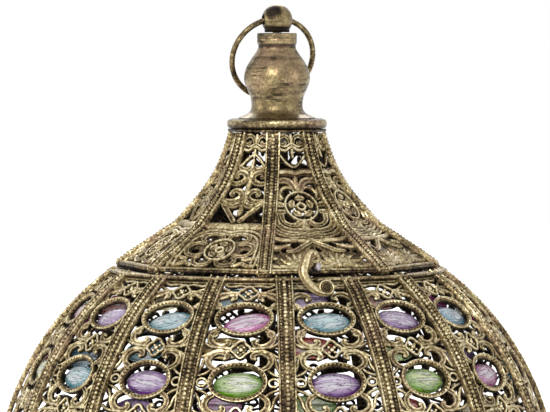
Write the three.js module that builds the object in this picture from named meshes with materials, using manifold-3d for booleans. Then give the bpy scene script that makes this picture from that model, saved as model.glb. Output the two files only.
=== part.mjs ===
// Openwork brass lantern: a hinged pagoda lid on a round body of pierced strips strung with glass beads.
// Millimetres, +Z up, front along -Y, origin on the table under the middle of the foot.
import * as THREE from 'three';
import { mergeVertices } from 'three/addons/utils/BufferGeometryUtils.js';
import Module from 'manifold-3d';

const wasm = await Module();
wasm.setup();

const degrees = (angle) => THREE.MathUtils.degToRad(angle);

// Gap kept between pieces that rest on each other, and the overrun of every cut
const SEAT = 0.3;
const OVERRUN = 1;

// Points nearer than this are one point
const WELD = 0.0003;

// Body: sixteen strips, each bent at every row of settings
const BODY_RADIUS = 124.5;
const BODY_SIDES = 16;
const BODY_TURN = degrees(-4.4);
const ROW_COUNT = 6;
const ROW_PITCH = degrees(14.4);
const TOP_ROW_LATITUDE = degrees(43.2);
const BODY_TOP_LATITUDE = degrees(54);
const PANEL_THICKNESS = 1.2;
const BODY_RIB = { width: 7.3, height: 1.6 };
const TOP_HOOP = { width: 8, thickness: 1.3 };
const BOTTOM_HOOP = { width: 10, thickness: 1.3 };

// Glass beads strung on a wire round each row, and the oval settings that frame them
const GEM = { length: 21.3, height: 12.3, thickness: 6.6, shoulderShare: 0.24, sides: 6 };
const GEM_WIRE_RADIUS = 0.45;
const SETTING = { play: 0.3, lip: 2, rise: 1.4, corners: 8 };

// Openwork: an opening over and under each setting, and a pair of openings in every third bend of a lid strip
const OPENWORK = { rim: 1.2, bar: 2.5, widthShare: 0.73 };
const LID_OPENWORK = { stepCount: 3, stile: 0.8, bar: 1.4, middleShare: 0.35, innerShare: 0.7 };

// Base plate, foot ring and pads
const BASE_PLATE = { inset: 5.1, thickness: 1.2, sides: 24 };
const FOOT = { inset: 1, height: 16, wall: 1.6, flange: 6.4, sides: 20 };
const FOOT_OUTLINE_SHARES = [[1, 0], [1, 0.14], [0.965, 0.22], [0.965, 0.84], [0.985, 0.9], [0.985, 1]];
const PAD = { radius: 3, height: 2, count: 3, sides: 12 };

// Lampholder, its fixing and the bulb
const NIPPLE = { radius: 4.9, bore: 3.2, length: 19, below: 7 };
const NIPPLE_NUT = { radius: 8, height: 3.4, sides: 6 };
const HOLDER = { radius: 13.5, height: 34, floor: 8, sides: 14 };
const HOLDER_COLLAR = { width: 4, height: 6, top: 4 };
const BULB_CAP = { radius: 7, length: 25, tip: 3, tipRadius: 3.5 };
const BULB = { radius: 22.5, height: 52, wall: 1, neckShare: 1.3, sides: 12, steps: 6 };
const CORD_BUSH = { bore: 3.3, radius: 4.1, flange: 4.8, lip: 1.2, sides: 14 };

// Gap between the body's top hoop and the eave, bridged by a foot under each lid rib
const LID_GAP = 1.2;

// Lid: eight curved strips from the eave up to the crown
const ROOF_SIDES = 8;
const EAVE = { inset: 3.4, width: 6, height: 2.2 };
const CROWN = { radius: 21.9, thickness: 1.3, bore: 2.3 };
const ROOF_HEIGHT = 56.6;
const ROOF_RIB = { width: 6.2, height: 1.6 };
const ROOF_HEIGHT_SHARES = [0, 0.08, 0.157, 0.233, 0.31, 0.415, 0.54, 0.693, 0.844, 1];
const ROOF_RADIUS_SHARES = [1, 0.876, 0.743, 0.613, 0.48, 0.372, 0.249, 0.134, 0.057, 0];
const LID_FOOT = { length: 5, width: 5 };

// Finial: turned pieces threaded on a stud, the ball drilled across for the carry ring
const CAP = { radius: 21.9, height: 4.1, outlineShares: [[0.96, 0], [1, 0.2], [1, 0.8], [0.96, 1]] };
const FLARE = {
  radius: 17.5,
  height: 8.6,
  outlineShares: [[1, 0], [0.914, 0.24], [0.81, 0.39], [0.714, 0.55], [0.66, 0.7], [0.655, 0.8], [0.68, 0.9],
    [0.66, 1]],
};
const VASE = {
  radius: 14.4,
  height: 21.2,
  outlineShares: [[0.8, 0], [0.85, 0.12], [0.94, 0.24], [1, 0.37], [1, 0.55], [0.9, 0.74], [0.82, 0.8], [0.73, 0.86],
    [0.68, 0.92], [0.64, 1]],
};
const COLLAR = { radius: 8.7, height: 6.8, outlineShares: [[0.95, 0], [0.93, 0.25], [1, 0.45], [1, 1]] };
const NECK = { radius: 5.5, height: 1.4 };
const BALL = { radius: 6.8, hole: 2.15, rings: 6 };
const FINIAL_SIDES = 16;
const STUD = { radius: 2, sides: 10 };
const STUD_NUT = { radius: 4.4, height: 3.2, sides: 6 };
const WASHER = { radius: 6.5, thickness: 1 };
const RING = { radius: 18.5, wire: 1.22, play: 0.65, sides: 6, steps: 28 };
const RING_SEARCH = { firstAngle: degrees(40), angleStep: degrees(4), lean: degrees(70), leanStep: degrees(0.25) };

// Lid hinge at the back
const HINGE = { barrel: 1.7, bore: 1.1, length: 20, leaf: 0.9, lidRise: 2.4, bodyReach: 5.4, sides: 14 };
const HINGE_PIN = { radius: 0.8, sides: 10 };

// Hook latch at the front, in a plane that leans back with the lid
const LATCH = { x: -3.8, ahead: 3.3, below: 4, lean: degrees(20) };
const HOOK = { size: 20, thickness: 1.3, eye: 3.7, eyeArc: degrees(80), eyeSteps: 4, bore: 1.5, boreSteps: 6 };
const HOOK_STUD = { x: -2.9, reach: 9.6, stem: 0.8, head: 1.9, headHeight: 1.6, sides: 12 };
const HOOK_CREST_SHARES = [[-0.295, 0.64], [-0.22, 0.67], [-0.165, 0.71], [-0.155, 0.755], [-0.175, 0.8],
  [-0.21, 0.825], [-0.275, 0.83], [-0.355, 0.785], [-0.41, 0.71], [-0.455, 0.6], [-0.5, 0.515], [-0.54, 0.415],
  [-0.54, 0.315], [-0.51, 0.21], [-0.455, 0.1], [-0.375, 0], [-0.285, -0.09], [-0.185, -0.155], [-0.08, -0.19]];
const HOOK_THROAT_SHARES = [[-0.063, 0.131], [-0.178, 0.099], [-0.274, 0.131], [-0.338, 0.208], [-0.363, 0.295],
  [-0.365, 0.375], [-0.307, 0.438], [-0.235, 0.481]];
const HOOK_TOOTH_SHARES = [[-0.22, 0.558], [-0.245, 0.58], [-0.303, 0.569]];
const RIVET = { head: 2.4, headHeight: 0.9, stem: 1.2, sides: 12 };
const HEAD_TOP_SHARE = 0.7;
const LATCH_TAB = { width: 5.6, thickness: 1.2, below: 1.3 };
const LUG = { gap: 1.1, thickness: 1.3, width: 3.6, above: 2.4 };

const COLOURS = {
  brass: { color: 0x8f7a45, roughness: 0.42, metalness: 0.9 },
  darkBrass: { color: 0x6d5c34, roughness: 0.5, metalness: 0.9 },
  steel: { color: 0x9a9a98, roughness: 0.4, metalness: 0.9 },
  black: { color: 0x1c1a18, roughness: 0.7, metalness: 0 },
  white: { color: 0xe9e6dc, roughness: 0.5, metalness: 0 },
  glass: { color: 0xf4efe2, roughness: 0.1, metalness: 0, transparent: true, opacity: 0.5 },
};
const GEM_COLOURS = [0x8a5aa0, 0x8fc46a, 0x9ad6d8, 0xd05a9a, 0xe0963a, 0xc23a30];

const lamp = new THREE.Group();

function addPiece(name, geometry, finish) {
  const mesh = new THREE.Mesh(geometry, new THREE.MeshStandardMaterial(finish));
  mesh.name = name;
  lamp.add(mesh);
}

// Closed solids from faces, revolved outlines and joined or cut pieces

class Shell {
  constructor() {
    this.points = [];
  }

  triangle(a, b, c) {
    this.points.push(a, b, c);
  }

  quad(a, b, c, d) {
    this.triangle(a, b, c);
    this.triangle(a, c, d);
  }

  loop(ringA, ringB) {
    ringA.forEach((point, i) => {
      const next = (i + 1) % ringA.length;
      this.quad(point, ringA[next], ringB[next], ringB[i]);
    });
  }

  geometry() {
    return outward(new THREE.BufferGeometry().setFromPoints(this.points));
  }
}

function positionsOnly(geometry) {
  const bare = geometry.index ? geometry.toNonIndexed() : geometry.clone();
  for (const name of Object.keys(bare.attributes)) {
    if (name !== 'position') {
      bare.deleteAttribute(name);
    }
  }
  return mergeVertices(bare, WELD);
}

function signedVolume(geometry) {
  const position = geometry.attributes.position;
  const corner = (i) => new THREE.Vector3().fromBufferAttribute(position, geometry.index.getX(i));
  let volume = 0;
  for (let i = 0; i < geometry.index.count; i += 3) {
    volume += corner(i).dot(corner(i + 1).cross(corner(i + 2))) / 6;
  }
  return volume;
}

function outward(geometry) {
  const merged = positionsOnly(geometry);
  const kept = [];
  for (let i = 0; i < merged.index.count; i += 3) {
    const [a, b, c] = [0, 1, 2].map((k) => merged.index.getX(i + k));
    if (a !== b && b !== c && c !== a) {
      kept.push(a, b, c);
    }
  }
  merged.setIndex(kept);
  if (signedVolume(merged) < 0) {
    merged.setIndex(kept.reverse());
  }
  return merged;
}

function toSolid(geometry) {
  const closed = outward(geometry);
  return new wasm.Manifold(new wasm.Mesh({
    numProp: 3,
    vertProperties: new Float32Array(closed.attributes.position.array),
    triVerts: new Uint32Array(closed.index.array),
  }));
}

function fromSolid(solid) {
  const mesh = solid.getMesh();
  const geometry = new THREE.BufferGeometry();
  geometry.setAttribute('position', new THREE.BufferAttribute(new Float32Array(mesh.vertProperties), 3));
  geometry.setIndex(Array.from(mesh.triVerts));
  return geometry;
}

function join(geometries) {
  const solids = geometries.map(toSolid);
  return fromSolid(solids.reduce((whole, next) => whole.add(next)));
}

function cut(geometry, tools) {
  return fromSolid(tools.reduce((rest, tool) => rest.subtract(toSolid(tool)), toSolid(geometry)));
}

function turned(outline, sides, turn = 0) {
  const points = outline.map(([radius, height]) => new THREE.Vector2(radius, height));
  const geometry = new THREE.LatheGeometry(points, sides);
  geometry.rotateX(Math.PI / 2);
  geometry.rotateZ(turn);
  return outward(geometry);
}

function turnedSleeve(inner, outer, bottom, top, sides, turn = 0) {
  return turned([[inner, bottom], [outer, bottom], [outer, top], [inner, top], [inner, bottom]], sides, turn);
}

function block(width, depth, height, centre) {
  return outward(new THREE.BoxGeometry(width, depth, height).translate(...centre));
}

// A piece turned about its own axis, with that axis then laid along -Y
function alongFront(outline, sides) {
  return turned(outline, sides).rotateX(Math.PI / 2);
}

// Meridian lines: each station has a radius, a height and the way the strip's thickness runs

function sphereStation(radius, latitude, isEnd = false) {
  const lean = Math.cos(latitude);
  return {
    r: radius * lean,
    z: radius * Math.sin(latitude),
    normalR: isEnd ? 1 / lean : lean,
    normalZ: isEnd ? 0 : Math.sin(latitude),
    drop: lean,
  };
}

function outlineStations(points, inset) {
  return points.map(([r, z], i) => {
    const before = points[Math.max(i - 1, 0)];
    const after = points[Math.min(i + 1, points.length - 1)];
    const run = Math.hypot(after[0] - before[0], after[1] - before[1]);
    const lean = (after[1] - before[1]) / run;
    const rise = (before[0] - after[0]) / run;
    const isEnd = i === 0 || i === points.length - 1;
    return {
      r: isEnd ? r - inset / lean : r - inset * lean,
      z: isEnd ? z : z - inset * rise,
      normalR: isEnd ? 1 / lean : lean,
      normalZ: isEnd ? 0 : rise,
      drop: lean,
    };
  });
}

function place(facing, out, side, height) {
  const [sine, cosine] = [Math.sin(facing), Math.cos(facing)];
  return new THREE.Vector3(out * sine + side * cosine, side * sine - out * cosine, height);
}

// One flat facet of a strip between two stations, with its corners and its inner points
function facet(facing, sides, low, high) {
  const half = Math.PI / sides;
  const centre = (station, depth) => place(
    facing,
    (station.r + depth * station.normalR) * Math.cos(half),
    0,
    station.z + depth * station.normalZ,
  );
  const halfWidth = (station, depth) => (station.r + depth * station.normalR) * Math.sin(half) - SEAT / 2;
  const sideways = place(facing, 0, 1, 0);
  const length = centre(low, 0).distanceTo(centre(high, 0));
  return {
    length,
    halfWidth,
    point: (side, along, depth) => centre(low, depth)
      .lerp(centre(high, depth), 0.5 + along / length)
      .addScaledVector(sideways, side),
    corner: (station, way, depth) => centre(station, depth)
      .addScaledVector(sideways, way * halfWidth(station, depth)),
  };
}

// A setting's outline this far outside the play round its gem, measured to the flats
const settingHalfWidth = (beyond) => GEM.length / 2 + SETTING.play + beyond;
const settingHalfHeight = (beyond) => GEM.height / 2 + SETTING.play + beyond;

function settingOval(beyond) {
  const toCorner = 1 / Math.cos(Math.PI / SETTING.corners);
  return Array.from({ length: SETTING.corners }, (_, i) => {
    const angle = ((i + 0.5) / SETTING.corners) * 2 * Math.PI;
    return new THREE.Vector2(
      settingHalfWidth(beyond) * toCorner * Math.cos(angle),
      settingHalfHeight(beyond) * toCorner * Math.sin(angle),
    );
  });
}

// Openings over and under a setting, from its rim to the bar between two settings
function bodyOpenings(flat) {
  const beyond = SETTING.lip + OPENWORK.rim;
  const side = OPENWORK.widthShare * settingHalfWidth(beyond);
  const shoulder = settingHalfHeight(beyond) * Math.sqrt(1 - OPENWORK.widthShare ** 2);
  const top = flat.length / 2 - OPENWORK.bar;
  const rim = settingOval(beyond).filter(({ x, y }) => y > shoulder && Math.abs(x) < side);
  const upper = [
    new THREE.Vector2(side, shoulder),
    new THREE.Vector2(side, top),
    new THREE.Vector2(-side, top),
    new THREE.Vector2(-side, shoulder),
    ...rim.reverse(),
  ];
  const lower = upper.map(({ x, y }) => new THREE.Vector2(x, -y)).reverse();
  return [upper, lower];
}

// Openings left and right of the middle in one bend of a lid strip
function lidOpenings(flat, low, high) {
  const end = flat.length / 2 - LID_OPENWORK.bar;
  const widthAt = (along) => THREE.MathUtils.lerp(
    flat.halfWidth(low, 0),
    flat.halfWidth(high, 0),
    0.5 + along / flat.length,
  ) - ROOF_RIB.width / 2 - LID_OPENWORK.stile;
  const inner = LID_OPENWORK.innerShare * end;
  const right = [[-end, 1], [end, 1], [inner, LID_OPENWORK.middleShare], [-inner, LID_OPENWORK.middleShare]]
    .map(([along, share]) => new THREE.Vector2(share * widthAt(along), along));
  const left = right.map(({ x, y }) => new THREE.Vector2(-x, y)).reverse();
  return [right, left];
}

// Ways to pierce a facet
const PLAIN = { hasSetting: false, openingsIn: () => [] };
const FRAMED = { hasSetting: true, openingsIn: bodyOpenings };
const PAIRED = { hasSetting: false, openingsIn: lidOpenings };

function addFace(shell, contour, holes, toPoint, isFront) {
  const flat = [...contour, ...holes.flat()];
  for (const [a, b, c] of THREE.ShapeUtils.triangulateShape(contour, holes)) {
    const isTurned = THREE.ShapeUtils.area([flat[a], flat[b], flat[c]]) > 0;
    const [second, third] = isTurned === isFront ? [b, c] : [c, b];
    shell.triangle(toPoint(flat[a]), toPoint(flat[second]), toPoint(flat[third]));
  }
}

function addSetting(shell, at) {
  const half = PANEL_THICKNESS / 2;
  const [outer, inner] = [settingOval(SETTING.lip), settingOval(0)];
  const crest = inner.map(at(half + SETTING.rise));
  shell.loop(outer.map(at(half)), crest);
  shell.loop(crest, inner.map(at(-half)));
}

function addFacet(shell, facing, sides, low, high, { hasSetting, openingsIn }) {
  const flat = facet(facing, sides, low, high);
  const half = PANEL_THICKNESS / 2;
  const contour = (depth) => [[low, -1], [low, 1], [high, 1], [high, -1]].map(([station, way]) => new THREE.Vector2(
    way * flat.halfWidth(station, depth),
    (station === low ? -1 : 1) * flat.length / 2,
  ));
  const at = (depth) => (p) => flat.point(p.x, p.y, depth);
  const openings = openingsIn(flat, low, high);
  const setting = (beyond) => (hasSetting ? [settingOval(beyond)] : []);
  addFace(shell, contour(half), [...setting(SETTING.lip), ...openings], at(half), true);
  addFace(shell, contour(-half), [...setting(0), ...openings], at(-half), false);
  openings.forEach((opening) => shell.loop(opening.map(at(half)), opening.map(at(-half))));
  if (hasSetting) {
    addSetting(shell, at);
  }
  for (const way of [-1, 1]) {
    const corners = [flat.corner(low, way, half), flat.corner(low, way, -half), flat.corner(high, way, -half),
      flat.corner(high, way, half)];
    shell.quad(...(way > 0 ? corners : corners.reverse()));
  }
}

function strip(facing, sides, stations, piercingAt) {
  const shell = new Shell();
  const half = PANEL_THICKNESS / 2;
  for (let i = 0; i + 1 < stations.length; i += 1) {
    addFacet(shell, facing, sides, stations[i], stations[i + 1], piercingAt(i));
  }
  const last = stations.length - 1;
  for (const [i, isTop] of [[0, false], [last, true]]) {
    const flat = facet(facing, sides, stations[Math.min(i, last - 1)], stations[Math.min(i, last - 1) + 1]);
    const corners = [[-1, half], [1, half], [1, -half], [-1, -half]]
      .map(([way, depth]) => flat.corner(stations[i], way, depth));
    shell.quad(...(isTop ? corners : corners.reverse()));
  }
  return shell.geometry();
}

// A rib covers the joint between two strips: flat outside, and hollowed below to their slopes
function rib(facing, sides, stations, size) {
  const half = size.width / 2;
  const base = PANEL_THICKNESS / 2 + SEAT;
  const slope = half * Math.tan(Math.PI / sides);
  const rings = stations.map((station) => {
    const section = [[0, base], [half, base - slope * station.drop], [half, base + size.height],
      [-half, base + size.height], [-half, base - slope * station.drop]];
    return section.map(([side, depth]) => place(
      facing,
      station.r + depth * station.normalR,
      side,
      station.z + depth * station.normalZ,
    ));
  });
  const shell = new Shell();
  for (let i = 0; i + 1 < rings.length; i += 1) {
    shell.loop(rings[i], rings[i + 1]);
  }
  for (const [ring, isTop] of [[rings[0], false], [rings[rings.length - 1], true]]) {
    for (let k = 1; k + 1 < ring.length; k += 1) {
      shell.triangle(ring[0], ring[isTop ? k : k + 1], ring[isTop ? k + 1 : k]);
    }
  }
  return shell.geometry();
}

// Heights that stack up from the table
const footBottom = PAD.height + SEAT;
const footTop = footBottom + FOOT.height;
const plateBottom = footTop + SEAT;
const plateTop = plateBottom + BASE_PLATE.thickness;
const bottomHoopBottom = plateTop + SEAT;
const bottomHoopTop = bottomHoopBottom + BOTTOM_HOOP.thickness;

// The strips' middle surface, measured where two strips meet
const ribCover = PANEL_THICKNESS / 2 + SEAT + BODY_RIB.height;
const stripRadius = BODY_RADIUS - ribCover;
const bottomLatitude = TOP_ROW_LATITUDE - (ROW_COUNT - 0.5) * ROW_PITCH;
const bodyCentre = bottomHoopTop + SEAT - stripRadius * Math.sin(bottomLatitude);
const topHoopBottom = bodyCentre + stripRadius * Math.sin(BODY_TOP_LATITUDE) + SEAT;
const topHoopTop = topHoopBottom + TOP_HOOP.thickness;

const raised = (station, height) => ({ ...station, z: station.z + height });
const latitudeOf = (height) => Math.asin((height - bodyCentre) / stripRadius);

function bodyStations(lowLatitude, highLatitude) {
  const joints = Array.from({ length: ROW_COUNT }, (_, i) => bottomLatitude + (i + 1) * ROW_PITCH);
  return [
    sphereStation(stripRadius, lowLatitude, true),
    ...joints.map((latitude) => sphereStation(stripRadius, latitude)),
    sphereStation(stripRadius, highLatitude, true),
  ].map((station) => raised(station, bodyCentre));
}

const panelStations = bodyStations(bottomLatitude, BODY_TOP_LATITUDE);
const bodyFacing = (i) => BODY_TURN + (i / BODY_SIDES) * 2 * Math.PI;
const bodyJointFacing = (i) => bodyFacing(i + 0.5);
const padded = (number) => String(number).padStart(2, '0');

function bodyPanel(index) {
  return strip(bodyFacing(index), BODY_SIDES, panelStations, (i) => (i < ROW_COUNT ? FRAMED : PLAIN));
}

const ribEndRadius = (latitude) => stripRadius * Math.cos(latitude) + ribCover / Math.cos(latitude);
const topHoopMiddle = (topHoopBottom + topHoopTop) / 2;
const bottomHoopMiddle = (bottomHoopBottom + bottomHoopTop) / 2;
const topHoopRadius = ribEndRadius(latitudeOf(topHoopMiddle));
const bottomHoopRadius = ribEndRadius(latitudeOf(bottomHoopMiddle));

function bodyFrame() {
  const stations = bodyStations(latitudeOf(bottomHoopMiddle), latitudeOf(topHoopMiddle));
  const turn = bodyJointFacing(0);
  const pieces = Array.from({ length: BODY_SIDES }, (_, i) => (
    rib(bodyJointFacing(i), BODY_SIDES, stations, BODY_RIB)
  ));
  pieces.push(
    turnedSleeve(topHoopRadius - TOP_HOOP.width, topHoopRadius, topHoopBottom, topHoopTop, BODY_SIDES, turn),
    turnedSleeve(
      bottomHoopRadius - BOTTOM_HOOP.width,
      bottomHoopRadius,
      bottomHoopBottom,
      bottomHoopTop,
      BODY_SIDES,
      turn,
    ),
    ...latchTab(),
  );
  return join(pieces);
}

// Beads and the wire that carries them are one string, closed into a ring behind the strips

function gemRow(row) {
  const [low, high] = [panelStations[row], panelStations[row + 1]];
  const depth = -(PANEL_THICKNESS / 2 + SEAT + GEM_WIRE_RADIUS);
  const rings = [];
  for (let i = 0; i < BODY_SIDES; i += 1) {
    const flat = facet(bodyFacing(i), BODY_SIDES, low, high);
    const up = flat.point(0, flat.length / 2, 0).sub(flat.point(0, -flat.length / 2, 0)).normalize();
    const sideways = place(bodyFacing(i), 0, 1, 0);
    const out = sideways.clone().cross(up);
    const shoulder = GEM.length * GEM.shoulderShare;
    const wire = { rise: GEM_WIRE_RADIUS, depthwise: GEM_WIRE_RADIUS };
    const glass = { rise: GEM.height / 2, depthwise: GEM.thickness / 2 };
    const sections = [[-GEM.length / 2, wire], [-shoulder, glass], [shoulder, glass], [GEM.length / 2, wire]];
    for (const [side, { rise, depthwise }] of sections) {
      rings.push(Array.from({ length: GEM.sides }, (_, k) => {
        const angle = Math.PI / 2 + (k / GEM.sides) * 2 * Math.PI;
        return flat.point(side, 0, 0)
          .addScaledVector(out, depth + depthwise * Math.cos(angle))
          .addScaledVector(up, rise * Math.sin(angle));
      }));
    }
  }
  const shell = new Shell();
  rings.forEach((ring, i) => shell.loop(ring, rings[(i + 1) % rings.length]));
  return shell.geometry();
}

// Base plate, foot and cord bush, each set in from the piece above it

const plateRadius = bottomHoopRadius - BASE_PLATE.inset;
const footRadius = plateRadius - FOOT.inset;
const [wallLow, wallHigh] = FOOT_OUTLINE_SHARES.slice(2, 4);
const footWallRadius = footRadius * wallLow[0];
const footFaceDistance = footWallRadius * Math.cos(Math.PI / FOOT.sides);
const bushHeight = footBottom + FOOT.height * (wallLow[1] + wallHigh[1]) / 2;

function foot() {
  const outer = FOOT_OUTLINE_SHARES.map(([radius, height]) => [
    radius * footRadius,
    footBottom + height * FOOT.height,
  ]);
  const inner = footWallRadius - FOOT.wall;
  const flangeTop = footBottom + FOOT.wall;
  const flangeUnder = footTop - FOOT.wall;
  const outline = [[footRadius - FOOT.flange, footBottom], ...outer, [inner - FOOT.wall, footTop],
    [inner - FOOT.wall, flangeUnder], [inner, flangeUnder], [inner, flangeTop],
    [footRadius - FOOT.flange, flangeTop], [footRadius - FOOT.flange, footBottom]];
  const drill = alongFront([[0, 0], [CORD_BUSH.radius + SEAT, 0], [CORD_BUSH.radius + SEAT, footRadius + OVERRUN],
    [0, footRadius + OVERRUN]], CORD_BUSH.sides);
  drill.rotateZ(Math.PI).translate(0, 0, bushHeight);
  return cut(turned(outline, FOOT.sides, Math.PI / FOOT.sides), [drill]);
}

function cordBush() {
  const outside = footFaceDistance + SEAT;
  const inside = footFaceDistance - FOOT.wall - SEAT;
  const bush = alongFront([[CORD_BUSH.bore, inside - CORD_BUSH.lip], [CORD_BUSH.radius, inside - CORD_BUSH.lip],
    [CORD_BUSH.radius, outside], [CORD_BUSH.flange, outside], [CORD_BUSH.flange, outside + CORD_BUSH.lip],
    [CORD_BUSH.bore, outside + CORD_BUSH.lip], [CORD_BUSH.bore, inside - CORD_BUSH.lip]], CORD_BUSH.sides);
  return bush.rotateZ(Math.PI).translate(0, 0, bushHeight);
}

function footPad(index) {
  const facing = ((index + 0.5) / PAD.count) * 2 * Math.PI;
  const outline = [[0, 0], [PAD.radius, 0], [PAD.radius, PAD.height], [0, PAD.height]];
  const out = (footRadius - FOOT.flange / 2) * Math.cos(Math.PI / FOOT.sides);
  return turned(outline, PAD.sides).translate(...place(facing, out, 0, 0));
}

// Lampholder and bulb, stacked up from the base plate

const holderBottom = plateTop + SEAT;
const holderTop = holderBottom + HOLDER.height;
const holderFloor = holderBottom + HOLDER.floor;
const capBottom = Math.max(holderFloor, plateBottom - NIPPLE.below + NIPPLE.length) + SEAT;
const capTop = capBottom + BULB_CAP.length;

function lampholderBody() {
  const bore = BULB_CAP.radius + SEAT;
  const nippleBore = NIPPLE.radius + SEAT;
  return turned([[nippleBore, holderBottom], [HOLDER.radius, holderBottom], [HOLDER.radius, holderTop],
    [bore, holderTop], [bore, holderFloor], [nippleBore, holderFloor], [nippleBore, holderBottom]], HOLDER.sides);
}

function lampholderCollar() {
  const top = holderTop - HOLDER_COLLAR.top;
  const bottom = top - HOLDER_COLLAR.height;
  return turnedSleeve(HOLDER.radius + SEAT, HOLDER.radius + HOLDER_COLLAR.width, bottom, top, HOLDER.sides);
}

function lampholderNipple() {
  const bottom = plateBottom - NIPPLE.below;
  return turnedSleeve(NIPPLE.bore, NIPPLE.radius, bottom, bottom + NIPPLE.length, HOLDER.sides);
}

function nippleNut() {
  const top = plateBottom - SEAT;
  const bottom = top - NIPPLE_NUT.height;
  const bore = NIPPLE.radius + SEAT;
  const hexagon = turned([[0, bottom], [NIPPLE_NUT.radius, bottom], [NIPPLE_NUT.radius, top], [0, top]],
    NIPPLE_NUT.sides);
  return cut(hexagon, [turned([[0, bottom - OVERRUN], [bore, bottom - OVERRUN], [bore, top + OVERRUN],
    [0, top + OVERRUN]], HOLDER.sides)]);
}

function bulbCap() {
  return turned([[0, capBottom], [BULB_CAP.tipRadius, capBottom], [BULB_CAP.radius, capBottom + BULB_CAP.tip],
    [BULB_CAP.radius, capTop], [0, capTop]], HOLDER.sides);
}

function bulbGlass() {
  const bottom = capTop + SEAT;
  const centre = bottom + BULB.height - BULB.radius;
  const neck = Math.asin(BULB_CAP.radius / BULB.radius);
  const arc = (radius) => Array.from({ length: BULB.steps }, (_, i) => {
    const angle = (i / (BULB.steps - 1)) * (Math.PI - BULB.neckShare * neck);
    return [radius * Math.sin(angle), centre + radius * Math.cos(angle)];
  });
  const inner = arc(BULB.radius - BULB.wall).reverse();
  return turned([...arc(BULB.radius), [BULB_CAP.radius, bottom], [BULB_CAP.radius - BULB.wall, bottom], ...inner],
    BULB.sides);
}

// Lid

const eaveRadius = topHoopRadius - EAVE.inset;
const lidFootBottom = topHoopTop + SEAT;
const eaveBottom = topHoopTop + LID_GAP;
const eaveTop = eaveBottom + EAVE.height;
const crownBottom = eaveTop + ROOF_HEIGHT;
const crownTop = crownBottom + CROWN.thickness;
const roofCover = PANEL_THICKNESS / 2 + SEAT + ROOF_RIB.height;
const roofFacing = (i) => (i / ROOF_SIDES) * 2 * Math.PI;
const roofJointFacing = (i) => roofFacing(i + 0.5);
const roofLine = ROOF_HEIGHT_SHARES.map((height, i) => [
  CROWN.radius + ROOF_RADIUS_SHARES[i] * (eaveRadius - CROWN.radius),
  eaveTop + SEAT + height * (ROOF_HEIGHT - 2 * SEAT),
]);
const roofStations = outlineStations(roofLine, roofCover);

// Lower end of the roof strips at the middle of a side, outside face
const eaveFace = eaveRadius * Math.cos(Math.PI / ROOF_SIDES);

function roofPanel(index) {
  const piercingAt = (i) => (i % LID_OPENWORK.stepCount === 1 ? PAIRED : PLAIN);
  return strip(roofFacing(index), ROOF_SIDES, roofStations, piercingAt);
}

function roofFrame() {
  const [lowest, highest] = [roofStations[0], roofStations[roofStations.length - 1]];
  const stations = [raised(lowest, -SEAT - EAVE.height / 2), ...roofStations,
    raised(highest, SEAT + CROWN.thickness / 2)];
  const turn = roofJointFacing(0);
  const pieces = [
    turnedSleeve(eaveRadius - EAVE.width, eaveRadius, eaveBottom, eaveTop, ROOF_SIDES, turn),
    turnedSleeve(CROWN.bore, CROWN.radius, crownBottom, crownTop, ROOF_SIDES, turn),
  ];
  for (let i = 0; i < ROOF_SIDES; i += 1) {
    pieces.push(rib(roofJointFacing(i), ROOF_SIDES, stations, ROOF_RIB));
    const height = eaveBottom + EAVE.height / 2 - lidFootBottom;
    const standing = block(LID_FOOT.width, LID_FOOT.length, height, [0, 0, lidFootBottom + height / 2]);
    const out = eaveRadius - EAVE.width / 2 - SEAT;
    pieces.push(standing.rotateZ(roofJointFacing(i)).translate(...place(roofJointFacing(i), out, 0, 0)));
  }
  pieces.push(...studLug());
  return join(pieces);
}

// Finial stack

const capPlateBottom = crownTop + SEAT;
const flareBottom = capPlateBottom + CAP.height + SEAT;
const vaseBottom = flareBottom + FLARE.height + SEAT;
const collarBottom = vaseBottom + VASE.height + SEAT;
const ballBottom = collarBottom + COLLAR.height + SEAT;
const ballCentre = ballBottom + NECK.height + Math.sqrt(BALL.radius ** 2 - NECK.radius ** 2);
const finialOutline = (piece, bottom) => piece.outlineShares.map(([radius, height]) => [
  radius * piece.radius,
  bottom + height * piece.height,
]);

function turnedBead(piece, bottom) {
  const bore = STUD.radius + SEAT;
  return turned([[bore, bottom], ...finialOutline(piece, bottom), [bore, bottom + piece.height], [bore, bottom]],
    FINIAL_SIDES);
}

const studTop = ballBottom + NECK.height;

function finialBall() {
  const start = Math.asin(NECK.radius / BALL.radius);
  const arc = Array.from({ length: BALL.rings + 1 }, (_, i) => {
    const angle = start + (i / BALL.rings) * (Math.PI - start);
    return [i === BALL.rings ? 0 : BALL.radius * Math.sin(angle), ballCentre - BALL.radius * Math.cos(angle)];
  });
  const bore = STUD.radius + SEAT;
  const body = turned([[0, studTop + SEAT], [bore, studTop + SEAT], [bore, ballBottom], [NECK.radius, ballBottom],
    ...arc], FINIAL_SIDES);
  const drill = new THREE.CylinderGeometry(BALL.hole, BALL.hole, 2 * (BALL.radius + OVERRUN), STUD.sides);
  return cut(body, [drill.rotateZ(Math.PI / 2).translate(0, 0, ballCentre)]);
}

const washerTop = crownBottom - SEAT;
const nutTop = washerTop - WASHER.thickness - SEAT;

function finialStud() {
  const bottom = nutTop - STUD_NUT.height - STUD.radius;
  return turned([[0, bottom], [STUD.radius, bottom], [STUD.radius, studTop], [0, studTop]], STUD.sides);
}

function studNut() {
  const [bottom, bore] = [nutTop - STUD_NUT.height, STUD.radius + SEAT];
  const hexagon = turned([[0, bottom], [STUD_NUT.radius, bottom], [STUD_NUT.radius, nutTop], [0, nutTop]],
    STUD_NUT.sides);
  return cut(hexagon, [turned([[0, bottom - OVERRUN], [bore, bottom - OVERRUN], [bore, nutTop + OVERRUN],
    [0, nutTop + OVERRUN]], STUD.sides)]);
}

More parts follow.
